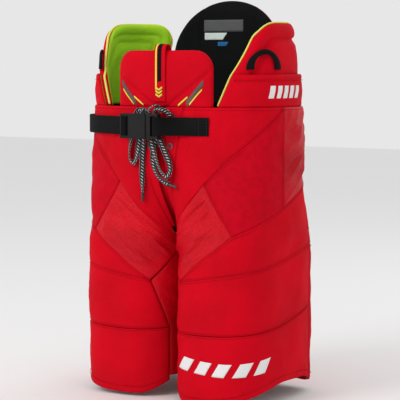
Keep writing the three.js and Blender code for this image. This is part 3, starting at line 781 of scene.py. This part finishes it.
# ---------------------------------------------------------------- waist lining
# A lining cloth of lime brushed knit, sewn to the inner side of the belt band all the way
# round from one front opening to the other.
def lining_place(side):
    def place(u, v, outer):
        z = mix(WAIST_Z + 0.4, BAND_TOP - 1.5, v)
        t = mix(0.252 + 0.046 * v + opening(side), 1.0, u)
        return placed(shell_point(t, z, -6.15 if outer else -6.8), side)

    return place


bm = bent_slab(60, 4, lining_place(1))
bent_slab(60, 4, lining_place(-1), bm)
bmesh.ops.remove_doubles(bm, verts=bm.verts[:], dist=0.00002)
new_piece("waist_lining", bm, [lime], "shell", "lime_fabric", ("waist_liner",))

# ---------------------------------------------------------------- hip wings
# A padded wing stands over each hip, sewn inside the belt band: nylon outside, brushed lime knit
# inside, a thick roll along its rim and a deep channel between the roll and the flat field.
FLAP_LOW = BAND_TOP + 0.4
WING_SINK = BAND_INSET + SKIN + 0.9
WING_HEIGHT = 69
PAD = 11


def wing_front(z):
    if z < FLAP_LOW:
        return mix(0.243, 0.29, (z - WAIST_Z) / (FLAP_LOW - WAIST_Z))
    return mix(0.29, 0.385, ((z - FLAP_LOW) / WING_HEIGHT) ** 0.9)


def wing_back(z):
    return 0.69 + 0.04 * max(0, (z - FLAP_LOW) / WING_HEIGHT)


def wing_top(u):
    return FLAP_LOW + WING_HEIGHT * (1 - 0.3 * abs(2 * u - 1) ** 6)


def wing_lean(z):
    v = max(0.0, (z - FLAP_LOW) / WING_HEIGHT)
    return 9 * v * v


def side_lean(u, z, side):
    """The left wing leans in all along, and the right one little at its front."""
    return wing_lean(z) * (1 if side > 0 else mix(0.2, 1, ease(u * 2)))


def rim_distance(u, t, z, opens):
    """How far a point of the wing lies from its front, top and back edge."""
    front = (t - wing_front(z) - opens) * HALF_GIRTH * 0.82
    rear = (wing_back(z) - t) * HALF_GIRTH * 0.95
    top = wing_top(u) - z
    soft = 4.0
    total = sum(math.exp(-min(90.0, d / soft)) for d in (front, rear, top))
    return max(0.0, -soft * math.log(total))


def bump(d, middle, half):
    """A half-round ridge, from 0 at its sides to 1 in its middle."""
    k = (d - middle) / half
    return math.sqrt(max(0.0, 1 - k * k))


def wing_outer(d):
    """The nylon face's height by distance from the rim: the roll, then the flat field."""
    if d < 20:
        return -4.6 + 5.4 * bump(d, 10, 10.5)
    return mix(-4.8, -0.8, ease((d - 20.5) / 11))


def wing_inner(d):
    """The lime face's depth by distance from the rim: the roll, a low ridge, then the field."""
    if d < 14:
        return 4.4 - 5.0 * bump(d, 7, 7.4)
    if d < 24:
        return 3.2 - 1.8 * bump(d, 19, 5)
    return mix(3.2, -0.6, ease((d - 24) / 12))


def wing_spot(u, z, side, outer):
    t = mix(wing_front(z) + opening(side), wing_back(z), u)
    d = rim_distance(u, t, z, opening(side))
    lean = side_lean(u, z, side)
    fold = 0.7 * crease(t, z, 26, 4.4) * ease(d / 8)
    if outer:
        lift = min(wing_outer(d), 0.2 if z < FLAP_LOW + 3 else 9) + fold * ease((z - FLAP_LOW) / 10)
        return placed(shell_point(t, z, -WING_SINK - lean + lift), side)
    return placed(shell_point(t, z, -WING_SINK - PAD - lean + wing_inner(d) + fold), side)


PIPING_DEEP, PIPING_DEEP_INSIDE = 5.6, 3.2  # under the wing's outer face, above and in the band
HINGE_LOW, HINGE_HIGH = 0.432, 0.452  # each wing's foot and bend points are set at these heights, in metres; nothing further uses them
for word, side in SIDES:

    def wing_place(u, v, outer, side=side):
        z = mix(WAIST_Z + 0.8, wing_top(u), 1 - (1 - v) ** 1.15)
        return wing_spot(u, z, side, outer)

    bm = bent_slab(120, 60, wing_place)
    wing = new_piece(
        f"padded_hip_wing_{word}", bm, [nylon, lime], None, "lime_fabric", (f"hip_wing_{word}",),
    )
    foot, bend = (side * 0.1, 0, HINGE_LOW), (side * 0.1, 0, HINGE_HIGH)
    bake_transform(wing)
    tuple(foot)
    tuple(bend)

    # Piping: a cord in lime tape, sewn in along the rim between the two cloths.
    rim = []
    for i in range(36):
        z = mix(WAIST_Z + 1.5, wing_top(0) - 1, i / 35)
        rim.append((0.0, z))
    for i in range(1, 90):
        rim.append((i / 90, wing_top(i / 90)))
    for i in range(14):
        rim.append((1.0, mix(wing_top(1), FLAP_LOW + 2, i / 13)))

    def rim_spot(u, z, side=side):
        t = mix(wing_front(z) + opening(side), wing_back(z), u)
        ahead = -0.002 if u < 0.02 else (0.0015 if u > 0.98 else 0)
        up = 0.4 if 0 < u < 1 else 0
        deep = PIPING_DEEP if z > FLAP_LOW else PIPING_DEEP_INSIDE
        p = shell_point(t + ahead, z + up, -WING_SINK - side_lean(u, z, side) - deep)
        return placed(p, side) / MM

    line = [rim_spot(u, z) for u, z in rim]
    line = smooth_line(line[:-2:3] + [line[-1]], 2.2)
    bm = bmesh.new()
    sweep(bm, line, round_section(1.5, 8), lambda i, side=side: Vector((side, 0.3, 0.2)))
    piping = new_piece(f"wing_piping_{word}", bm, [piping_lime], None, "lime_fabric")
    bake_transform(piping)
    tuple(foot)
    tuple(bend)

# ---------------------------------------------------------------- brace loops
# An arch of black webbing stands on the outer side of each wing, for a brace to hook on. Its
# ends are spread flat and sewn down to the nylon.
LOOP_T, LOOP_HALF_WIDTH, LOOP_TALL = 0.395, 22, 31
for word, side in SIDES:

    def loop_place(u, v, outer, side=side):
        a = math.pi * u
        web = 7 + 7.5 * abs(math.cos(a)) ** 5
        r = mix(-web / 2, web / 2, v)
        along = -math.cos(a) * (LOOP_HALF_WIDTH - 1 + r * 0.75)
        tall = math.sin(a) * (LOOP_TALL - 4 + r) + 3 * abs(math.cos(a)) ** 3
        z = FLAP_LOW + 3 + tall
        arch = 1.6 * math.sin(a) + 0.8 * (1 - (2 * v - 1) ** 2)
        thick = 2.0 if outer else 0.0
        t = LOOP_T + along / HALF_GIRTH
        return placed(shell_point(t, z, -WING_SINK - wing_lean(z) + 0.5 + arch + thick), side)

    new_piece(
        f"brace_loop_webbing_{word}", bent_slab(48, 6, loop_place), [webbing], f"{word}_loop",
        "webbing", (f"brace_loop_{word}",),
    )

# ---------------------------------------------------------------- spine guard
# A tall domed guard in the middle of the back: black knit over foam towards the body, with two
# sewn channels, and red nylon outside. Plain patches are printed where a size is written.
SPINE_HALF_WIDTH, SPINE_HEIGHT = 93, 103


def waist_y(x, way):
    depth = WAIST_BACK if way > 0 else WAIST_FRONT
    return way * depth * (1 - min(1, abs(x / WAIST_HALF_WIDTH)) ** WAIST_POWER) ** (1 / WAIST_POWER)


def spine_half(rise):
    """Half the guard's width at a share of its height."""
    return SPINE_HALF_WIDTH * math.sqrt(1 - min(1.0, max(0.0, rise)) ** 2.6)


def spine_top(x):
    return FLAP_LOW + SPINE_HEIGHT * max(0.0, 1 - (x / SPINE_HALF_WIDTH) ** 2) ** (1 / 2.6)


def spine_spot(x, z, outer, lift=0.0):
    rise = (z - FLAP_LOW) / SPINE_HEIGHT
    d = max(0.0, min(spine_half(rise) - abs(x), (spine_top(x) - z) * 0.9))
    y = waist_y(x, 1) - WING_SINK
    if outer:
        return Vector((x, y - 5 * (1 - min(1, math.sqrt(d / 14))) * ease(rise * 8), z))
    channel_x = 53 * (1 - 0.2 * max(0, rise))
    channel = sum(math.exp(-(((x - s * channel_x) / 2.0) ** 2)) for s in (-1, 1))
    y += -PAD + 5 * (1 - min(1, math.sqrt(d / 12))) + 2.2 * channel
    return Vector((x, y - lift - 0.8 * noise.noise(Vector((x / 30, z / 24, 3))), z))


def spine_place(u, v, outer):
    x = 0.999 * SPINE_HALF_WIDTH * math.cos(math.pi * u)
    return placed(spine_spot(x, mix(WAIST_Z + 0.8, spine_top(x), v), outer), 1)


spine = new_piece(
    "padded_spine_guard", bent_slab(90, 80, spine_place), [nylon, black_lining], None,
    "black_fabric", ("spine_guard",),
)
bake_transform(spine)
grey_print = cloth_material(
    "grey_print", (0.13, 0.13, 0.135), (0.08, 0.08, 0.085), rough=0.5, sheen=0.1
)
pale_print = cloth_material(
    "pale_print", (0.72, 0.77, 0.76), (0.6, 0.66, 0.65), rough=0.5, sheen=0.0
)
blue_print = cloth_material(
    "blue_print", (0.03, 0.17, 0.42), (0.02, 0.1, 0.3), rough=0.5, sheen=0.0
)
for name, x, z, wide, tall, lean, colour in (
    ("grey", -9, 514, 66, 17, 0, grey_print),
    ("pale", -24, 499, 34, 10, 7, pale_print),
    ("blue", -11, 488, 16, 6, 4, blue_print),
):

    def patch_place(u, v, outer, x=x, z=z, wide=wide, tall=tall, lean=lean):
        at = x + mix(-wide / 2, wide / 2, u) + lean * (v - 0.5) * (1 if u > 0.5 else 0)
        high = z + mix(-tall / 2, tall / 2, v)
        return placed(spine_spot(at, high, False, 0.35 if outer else -0.3), 1)

    new_piece(
        f"spine_patch_{name}", bent_slab(24, 6, patch_place), [colour], "spine_guard",
        "black_fabric",
    )

# ---------------------------------------------------------------- belly pad and pull tape
# A padded flap folds up from the waist seam in front of the belly, with two pressed folds that
# meet at its foot. A striped tape is sewn up its middle and stands over it as a finger loop.
BELLY_HALF_WIDTH, BELLY_HEIGHT, BELLY_CORNER = 77, 76, 26
BELLY_LOW = WAIST_Z + 0.4


def belly_half(z):
    over = max(0.0, z - (BELLY_HEIGHT - BELLY_CORNER))
    return BELLY_HALF_WIDTH - BELLY_CORNER + math.sqrt(max(0.0, BELLY_CORNER**2 - over**2))


def belly_edge(x, z):
    return max(0, min(belly_half(z) - abs(x), BELLY_HEIGHT - z, z + 5))


def belly_roll(edge):
    """The pad thins by this much on each face towards its edge."""
    return 4.4 * (1 - min(1, math.sqrt(edge / 8)))


def belly_front(x, z, lift=0.0):
    edge = belly_edge(x, z)
    fold = (abs(x) - 10) / 64 * 46
    away = abs(z - fold) * 0.8
    pressed = 2.4 * math.exp(-((away / 2.4) ** 2)) * ease((belly_half(z) - abs(x)) / 6)
    swell = 1.6 * ease(edge / 22) + 0.6 * noise.noise(Vector((x / 24, z / 24, 8)))
    y = waist_y(x, -1) + 1 + belly_roll(edge) - swell + pressed - lift
    return Vector((x, y, BELLY_LOW + z))


def belly_place(u, v, outer):
    z = BELLY_HEIGHT * (1 - (1 - v) ** 1.2)
    x = mix(-1, 1, u) * belly_half(z)
    p = belly_front(x, z)
    if not outer:
        p.y = waist_y(x, -1) + 1 + PAD - belly_roll(belly_edge(x, z))
    return placed(p, 1)


new_piece(
    "padded_belly_flap", bent_slab(90, 60, belly_place), [nylon, lime], "belly_pad", "red_fabric",
    ("belly_pad",),
)


def belly_stripe(bm, x1, z1, x2, z2, width, out=0.1, thick=0.6):
    """A raised strip on the belly pad between two points, cut square to the pad's height."""

    def place(u, v, outer):
        x, z = mix(x1, x2, u), mix(z1, z2, u) + width * (v - 0.5)
        return placed(belly_front(x, z - BELLY_LOW, out + (thick if outer else -1.2)), 1)

    return bent_slab(14, 2, place, bm)


grey_tape = cloth_material(
    "grey_stripe", (0.17, 0.12, 0.12), (0.1, 0.07, 0.07), rough=0.5, sheen=0.1
)
yellow = cloth_material(
    "yellow_stripe", (0.9, 0.82, 0.13), (0.75, 0.62, 0.05), rough=0.5, sheen=0.0
)
bm = bmesh.new()
for s in (-1, 1):
    belly_stripe(bm, s * 67, 435, s * 42, 406, 8)
new_piece("belly_stripe_grey", bm, [grey_tape], "belly_pad", "striped_tape")
bm = bmesh.new()
for s in (-1, 1):
    belly_stripe(bm, s * 65, 425.5, s * 46, 405.5, 2.2)
    belly_stripe(bm, s * 44, 415.5, s * 29, 404.5, 2.2, 0.8)
new_piece("belly_stripe_yellow", bm, [yellow], "belly_pad", "striped_tape")

TAPE_FRONT = -WAIST_FRONT + 1 - 0.3 - 1.6
BELLY_TOP = BELLY_LOW + BELLY_HEIGHT
tape_line = [
    (0, TAPE_FRONT - 0.7, BELLY_LOW + 2), (0, TAPE_FRONT - 0.9, BELLY_LOW + 30),
    (0, TAPE_FRONT - 0.7, BELLY_TOP - 12), (0, TAPE_FRONT - 0.2, BELLY_TOP),
    (0, TAPE_FRONT + 2.2, BELLY_TOP + 6), (0, TAPE_FRONT + 7, BELLY_TOP + 8),
    (0, TAPE_FRONT + 11.8, BELLY_TOP + 6), (0, TAPE_FRONT + 14.2, BELLY_TOP - 1),
    (0, TAPE_FRONT + 14.4, BELLY_TOP - 16),
]
line = [p + BODY for p in smooth_line(tape_line, 1.6)]
tape_out = []
for i in range(len(line)):
    way = (line[min(i + 1, len(line) - 1)] - line[max(i - 1, 0)]).normalized()
    tape_out.append(Vector((0, -way.z, way.y)))
LOOP_FRONT = BODY.y - 88  # the printed stripes stop where the loop turns back behind this
for name, wide, thick, at, proud, from_z, colour in (
    ("red", 19, 1.4, 0, 0, 409, nylon),
    ("yellow", 2.6, 0.5, -5.4, 0.8, 424, yellow),
    ("black", 6.2, 0.5, 0.2, 0.8, 436, black_lining),
):
    shown = [
        (p + Vector((at, 0, 0)) + out * proud, out) for p, out in zip(line, tape_out)
        if p.z >= from_z and (name == "red" or p.y < LOOP_FRONT)
    ]
    bm = bmesh.new()
    sweep(bm, [p for p, _ in shown], flat_section(wide, thick), lambda i, shown=shown: shown[i][1])
    new_piece(
        f"finger_tape_{name}", bm, [colour], "belly_pad", "striped_tape",
        ("pull_tape",) if name == "red" else (),
    )
bm = bmesh.new()
for i in range(3):
    z = 417.5 + 4.6 * i
    for s in (-1, 1):
        belly_stripe(bm, s * 0.2, z - 1.6, s * 5, z + 1.6, 2.4, 3.2, 0.5)
new_piece("finger_tape_chevrons", bm, [yellow], "belly_pad", "striped_tape")

# ---------------------------------------------------------------- fly and crotch
# Two thin plackets carry the eyelets, with a gusset of the same nylon behind them. A stretch
# gusset joins the legs under the crotch.
for word, side in SIDES:

    def placket_place(u, v, outer, side=side):
        z = mix(236, WAIST_Z, v)
        seam = mix(CROTCH[0], FLY_SEAM, (z - CROTCH[1]) / (WAIST_Z - CROTCH[1])) - 0.0006
        t = mix(mix(0.012, 0.03, v), seam, u)
        x_mid = shell_point(t, z).x
        hole = min(((x_mid - x) ** 2 + (z - h) ** 2) ** 0.5 for x, h in ((20, 389), (16.5, 349)))
        edge = min(u, 1 - u) * 34
        lift = crown(edge, 0.3, 3.0, 0.8) + 0.5 * crease(t, z, 22, 6.1) * ease(hole / 20) - 0.1
        return placed(shell_point(t, z, lift if outer else -3), side)

    new_piece(
        f"fly_placket_cloth_{word}", bent_slab(14, 48, placket_place), [nylon], "shell",
        "red_fabric", (f"fly_placket_{word}",),
    )


def gusset_place(u, v, outer):
    z = mix(CROTCH[1] - 5.5, WAIST_Z - 1, v)
    x = mix(-1, 1, u) * mix(8, 34, v)
    y = shell_point(0, z).y + waist_y(x, -1) - waist_y(0, -1)
    fold = 1.4 * noise.noise(Vector((x / 14, z / 30, 2.5)))
    return placed(Vector((x, y + 4.9 + (0 if outer else 2) + max(-0.6, fold), z)), 1)


new_piece(
    "fly_gusset_cloth", bent_slab(24, 60, gusset_place), [nylon], "shell", "red_fabric",
    ("fly_gusset",),
)


def crotch_place(u, v, outer):
    x, y = mix(-11, 11, u), mix(-38, 38, v)
    z = 200.4 + 3.6 * (1 - (2 * v - 1) ** 2) + (3.6 if outer else 0)
    return placed(Vector((x, y, z)), 1)


new_piece(
    "crotch_gusset_knit", bent_slab(10, 24, crotch_place), [stretch], "shell", "stretch_fabric",
    ("crotch_gusset",),
)

# ---------------------------------------------------------------- pads inside the shell
# Closed foam in a dark lining lies behind each guard plate, at the hips, thighs and tailbone.
# The edges are pinched thin where the lining is stitched round them.
FOAM_SINK, FOAM_THICK = 8.3, 8.8


def foam_depth(edge, outer):
    """How deep under the shell's face the pad's outer or inner face lies, near its edge or not."""
    pinch = (FOAM_THICK / 2 - 1) * (1 - min(1, math.sqrt(edge / 7)))
    return FOAM_SINK + (pinch if outer else FOAM_THICK - pinch)


def inside_pad(name, node, corners, bow=0.0, low=0.0, high=1.0):
    """A pad behind one panel on both sides: corners as (t, height), kept from low to high."""
    a, b, c, d = corners
    for word, side in SIDES:

        def place(u, v, outer, side=side):
            k = mix(low, high, v)
            t = mix(mix(a[0], b[0], u), mix(d[0], c[0], u), k)
            foot = mix(a[1], b[1], u) - bow * 4 * u * (1 - u)
            z = mix(foot, mix(d[1], c[1], u), k)
            wide = abs(b[0] - a[0]) * HALF_GIRTH
            edge = min(min(u, 1 - u) * wide, min(v, 1 - v) * abs(d[1] - a[1]))
            return placed(shell_point(t, z, -foam_depth(edge, outer)), side, False)

        new_piece(
            f"{name}_{word}", bent_slab(40, 24, place), [black_lining], "shell", "foam",
            (f"{node}_{word}",),
        )


HIP_CAP = [(0.401, 301), (0.599, 301), (0.599, 391), (0.421, 391)]
inside_pad("padded_hip_cap_lining", "hip_foam_pad", HIP_CAP)
inside_pad("padded_thigh_lining", "thigh_foam", drawn_in(THIGH_FRONT, 0.8), SAG, 0.1, 0.92)


TAIL_WIDE, TAIL_LOW, TAIL_TALL = 83, 323, 70


def tailbone_place(u, v, outer):
    x, z = TAIL_WIDE * (0.5 - u), TAIL_LOW + TAIL_TALL * v
    edge = min(min(u, 1 - u) * TAIL_WIDE, min(v, 1 - v) * TAIL_TALL)
    return placed(Vector((x, waist_y(x, 1) - foam_depth(edge, outer), z)), 1)


new_piece(
    "padded_tailbone_lining", bent_slab(30, 24, tailbone_place), [black_lining], "shell", "foam",
    ("tailbone_pad",),
)

# ---------------------------------------------------------------- belt
# Two lengths of black ribbed webbing. The short one is turned round the plug's bar and sewn on
# the left front; the long one threads the socket and runs round the right hip to its sewn end.
BELT_Z = 376
STRAP_WIDTH, STRAP_THICK = 25, 1.6
BUCKLE_X, BUCKLE_Y = -22, -113
BAR_X = BUCKLE_X + 28.3


def on_panel(x):
    return waist_y(x, -1) - 1.2 - 2.2 * ease((x - 40) / 12)


short_strap = [
    (BAR_X + 6, BUCKLE_Y + 5.6), (BAR_X - 4, BUCKLE_Y + 5.4), (BAR_X - 6, BUCKLE_Y + 1.5),
    (BAR_X - 5.6, BUCKLE_Y - 2.4), (BAR_X - 4, BUCKLE_Y - 5.5), (BAR_X + 4, BUCKLE_Y - 5.5),
    (BAR_X + 12, BUCKLE_Y + 1.6), (BAR_X + 26, on_panel(BAR_X + 26) - 3.2),
    (BAR_X + 40, on_panel(BAR_X + 40) - 0.6), (56, on_panel(56)), (66, on_panel(66)),
    (77, on_panel(77)),
]
THREAD_X = BUCKLE_X - 23.2
THREAD_BACK, THREAD_FRONT = BUCKLE_Y + 6.2, BUCKLE_Y - 6.2


def round_hip(t):
    p = shell_point(t, BELT_Z, 5.4)
    return (-p.x - 1.2 * hang(p, -1), p.y)


long_strap = [
    (THREAD_X + 6.6, THREAD_BACK), (THREAD_X + 4.4, THREAD_BACK - 0.6), (THREAD_X + 3.4, BUCKLE_Y),
    (THREAD_X + 2.4, THREAD_FRONT + 0.4), (THREAD_X, THREAD_FRONT),
    (THREAD_X - 2.4, THREAD_FRONT + 0.4), (THREAD_X - 3.4, BUCKLE_Y),
    (THREAD_X - 4.4, THREAD_BACK - 0.6), (THREAD_X - 12, THREAD_BACK + 0.4),
    *[round_hip(0.27 + 0.03 * i) for i in range(9)],
]
for name, node, plan in (("short", "short_strap", short_strap), ("long", "long_strap", long_strap)):
    line = [p + BODY for p in smooth_line([(x, y, BELT_Z) for x, y in plan], 1.5)]

    def strap_facing(i, line=line):
        way = line[min(i + 1, len(line) - 1)] - line[max(i - 1, 0)]
        return Vector((way.y, -way.x, 0))

    bm = bmesh.new()
    sweep(bm, line, flat_section(STRAP_WIDTH, STRAP_THICK), strap_facing)
    body = "shell" if name == "short" else None
    strap = new_piece(f"belt_webbing_{name}", bm, [webbing], body, "webbing", (node,))
    if name == "long":
        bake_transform(strap)

# ---------------------------------------------------------------- buckle and eyelets
# A side-release buckle moulded in black plastic, with softened edges and a fine spark-eroded
# grain. Its plug has two prongs that click into the socket. The lace's eyelets are plated.
def moulded(name, colour, rough, grain=900.0, metal=0.0):
    material = plain(name, colour, rough)
    tree = material.node_tree
    shader = tree.nodes["Principled BSDF"]
    place = shader_node(tree, "ShaderNodeTexCoord")
    spot = place.outputs["Object"]
    fine = shader_node(tree, "ShaderNodeTexNoise", Vector=spot, Scale=grain, Detail=3.0)
    wide = shader_node(tree, "ShaderNodeTexNoise", Vector=spot, Scale=60.0, Detail=3.0)
    gloss = shader_node(
        tree, "ShaderNodeMapRange", Value=wide.outputs["Fac"], i1=0.3, i2=0.7, i3=rough - 0.08,
        i4=rough + 0.1,
    )
    tint = shader_node(
        tree, "ShaderNodeMix", data_type="RGBA", Factor=wide.outputs["Fac"], i6=(*colour, 1),
        i7=(*[min(1, c * 1.35 + 0.004) for c in colour], 1),
    )
    ridge = shader_node(
        tree, "ShaderNodeBump", Strength=0.18, Distance=0.0002, Height=fine.outputs["Fac"]
    )
    tree.links.new(gloss.outputs[0], shader.inputs["Roughness"])
    tree.links.new(tint.outputs[2], shader.inputs["Base Color"])
    tree.links.new(ridge.outputs["Normal"], shader.inputs["Normal"])
    shader.inputs["Metallic"].default_value = metal
    shader.inputs["Specular IOR Level"].default_value = 0.22
    return material


buckle_plastic = moulded("black_acetal", (0.004, 0.004, 0.0045), 0.4)
guard_plastic = moulded("black_polyethylene", (0.02, 0.02, 0.021), 0.5, 300.0)
eyelet_metal = moulded("black_nickel", (0.09, 0.09, 0.095), 0.35, 500.0, 0.9)
for node, body in (
    ("buckle_socket", "buckle_socket"), ("buckle_plug", "shell"),
    ("buckle_prong_upper", "prong_upper"), ("buckle_prong_lower", "prong_lower"),
):
    bm = bmesh.new()
    bm.from_mesh(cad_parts[node].data)
    bmesh.ops.remove_doubles(bm, verts=bm.verts[:], dist=0.00002)
    bmesh.ops.dissolve_limit(bm, angle_limit=0.02, verts=bm.verts[:], edges=bm.edges[:])
    sharp = [e for e in bm.edges if len(e.link_faces) == 2 and e.calc_face_angle() > 0.5]
    bmesh.ops.bevel(
        bm, geom=sharp, offset=0.0006, segments=2, profile=0.5, affect="EDGES", material=-1,
        clamp_overlap=True,
    )
    bmesh.ops.triangulate(bm, faces=bm.faces[:])
    piece = new_piece(
        f"moulded_{node}", bm, [buckle_plastic], body, "buckle_plastic", (node,), turn=False
    )
    for face in piece.data.polygons:
        face.use_smooth = False
for name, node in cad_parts.items():
    if "_plate_" in name or name == "tailbone_plate":
        node.data.materials.clear()
        node.data.materials.append(guard_plastic)
    if name.startswith("eyelet"):
        node.data.materials.clear()
        node.data.materials.append(eyelet_metal)

# ---------------------------------------------------------------- stitching
# Bonded red thread in rows beside the seams, and black thread where the short strap is sewn on:
# short raised stitches about four millimetres apart, each lying along its seam.
thread = cloth_material(
    "red_thread", (0.5, 0.004, 0.015), (0.4, 0.002, 0.01), threads=2000.0, rough=0.45, sheen=0.0
)
black_thread = cloth_material(
    "black_thread", (0.03, 0.03, 0.032), (0.02, 0.02, 0.02), threads=2000.0, rough=0.4, sheen=0.0
)
STITCH, PITCH = (2.9, 0.75, 0.55), 4.1


def stitch_row(bm, spots, out_of):
    """Stitches along a line of spots (metres), each turned to lie on the cloth."""
    gap = 0.0
    for i in range(len(spots) - 1):
        a, b = spots[i], spots[i + 1]
        run = (b - a).length
        way = (b - a).normalized()
        while gap < run:
            out = out_of(i)
            out = (out - way * out.dot(way)).normalized()
            turn = Matrix((way, out.cross(way), out)).transposed().to_4x4()
            size = Matrix.Diagonal([d * MM for d in STITCH]).to_4x4()
            made = bmesh.ops.create_cube(
                bm, size=1, matrix=Matrix.Translation(a + way * gap) @ turn @ size
            )
            for v in made["verts"]:
                for_end = (v.co - (a + way * gap)).dot(way)
                if (v.co - (a + way * gap)).dot(out) > 0:
                    v.co -= way * for_end * 0.3
            gap += PITCH * MM
        gap -= run


def seam_spots(a, b, bow, offset):
    """The (t, z) spots along a seam from a to b, moved sideways by offset millimetres."""
    start, end = Vector((a[0] * HALF_GIRTH, a[1])), Vector((b[0] * HALF_GIRTH, b[1]))
    count = max(2, int((end - start).length / 4))
    across = Vector((-(end - start).y, (end - start).x)).normalized() * offset
    spots = []
    for i in range(count + 1):
        p = start.lerp(end, i / count) + across
        spots.append((p.x / HALF_GIRTH, p.y - bow * 4 * (i / count) * (1 - i / count)))
    return spots


def shell_stitches(bm, side, flat, out):
    """A row of stitches along (t, z) spots of one half, at a height over the shell's face."""
    spots = [placed(shell_point(t, z, out), side) for t, z in flat]

    def standing(i):
        high, low = (placed(shell_point(*flat[i], height), side) for height in (5, 0))
        return (high - low).normalized()

    stitch_row(bm, spots, standing)


BESIDE = 2.6  # most rows run this far from their seam
# Each row's start and end as (t, height), how far it bows down, and how far beside it lies.
SEAMS = [
    (CROTCH, HIP_CORNER, 0, BESIDE), (HIP_CORNER, SIDE_HIGH, 0, BESIDE),
    (HIP_CORNER, SIDE_HIGH, 0, -BESIDE), (THIGH_CORNER, SIDE_LOW, 0, -BESIDE),
    (SIDE_LOW, BACK_MIDDLE, 0, -BESIDE), (THIGH_CORNER, HIP_CORNER, 0, -BESIDE),
    (GROIN_FOOT, THIGH_CORNER, 0, -BESIDE), (GROIN_FOOT, THIGH_TOP, 0, -BESIDE),
    (GROIN_FOOT, THIGH_TOP, 0, BESIDE), (SIDE_LOW, SIDE_HIGH, 0, BESIDE),
    ((BACK_SEAM, 30), (BACK_SEAM, 400), 0, -3), ((BACK_SEAM, FLEX_Z), (0.998, FLEX_Z), 0, BESIDE),
    (THIGH_TOP, (0.998, THIGH_TOP[1]), 0, -BESIDE),
    ((FLY_SEAM, WAIST_Z - 1), (0.042, 262), 0, BESIDE), ((0.12, 398.6), (0.998, 398.6), 0, 0),
    ((0.165, 398), (0.165, 313), 0, 0), ((0.994, 232), (0.994, 398), 0, 0),
    ((THIGH_EDGE + 0.01, HEM_SEAM[0]), (BACK_SEAM - 0.01, HEM_SEAM[1]), SAG, 2.8),
    ((THIGH_EDGE + 0.01, HEM_SEAM[0]), (BACK_SEAM - 0.01, HEM_SEAM[1]), SAG, -2.8),
]
for word, side in SIDES:
    bm = bmesh.new()
    for a, b, bow, offset in SEAMS:
        shell_stitches(bm, side, seam_spots(a, b, bow, offset), 0.25)
    hem_row = [mix(THIGH_EDGE + 0.01, 0.99, i / 130) for i in range(131)]
    shell_stitches(bm, side, [(t, hem(t, side) + 9) for t in hem_row], 0.75)
    band_row = [(mix(0.3, 0.995, i / 90), BAND_TOP - BAND_STITCH) for i in range(91)]
    shell_stitches(bm, side, band_row, -BAND_INSET + 1.0)
    new_piece(f"seam_stitches_{word}", bm, [thread], "shell", "red_fabric")

bm = bmesh.new()
for x in (63, 74):
    row = [Vector((x, on_panel(x) - 1.0, BELT_Z + h)) for h in range(-11, 12, 2)]
    stitch_row(bm, [placed(p, 1) for p in row], lambda i: Vector((0.3, -1, 0)))
new_piece("belt_stitches", bm, [black_thread], "shell", "webbing")
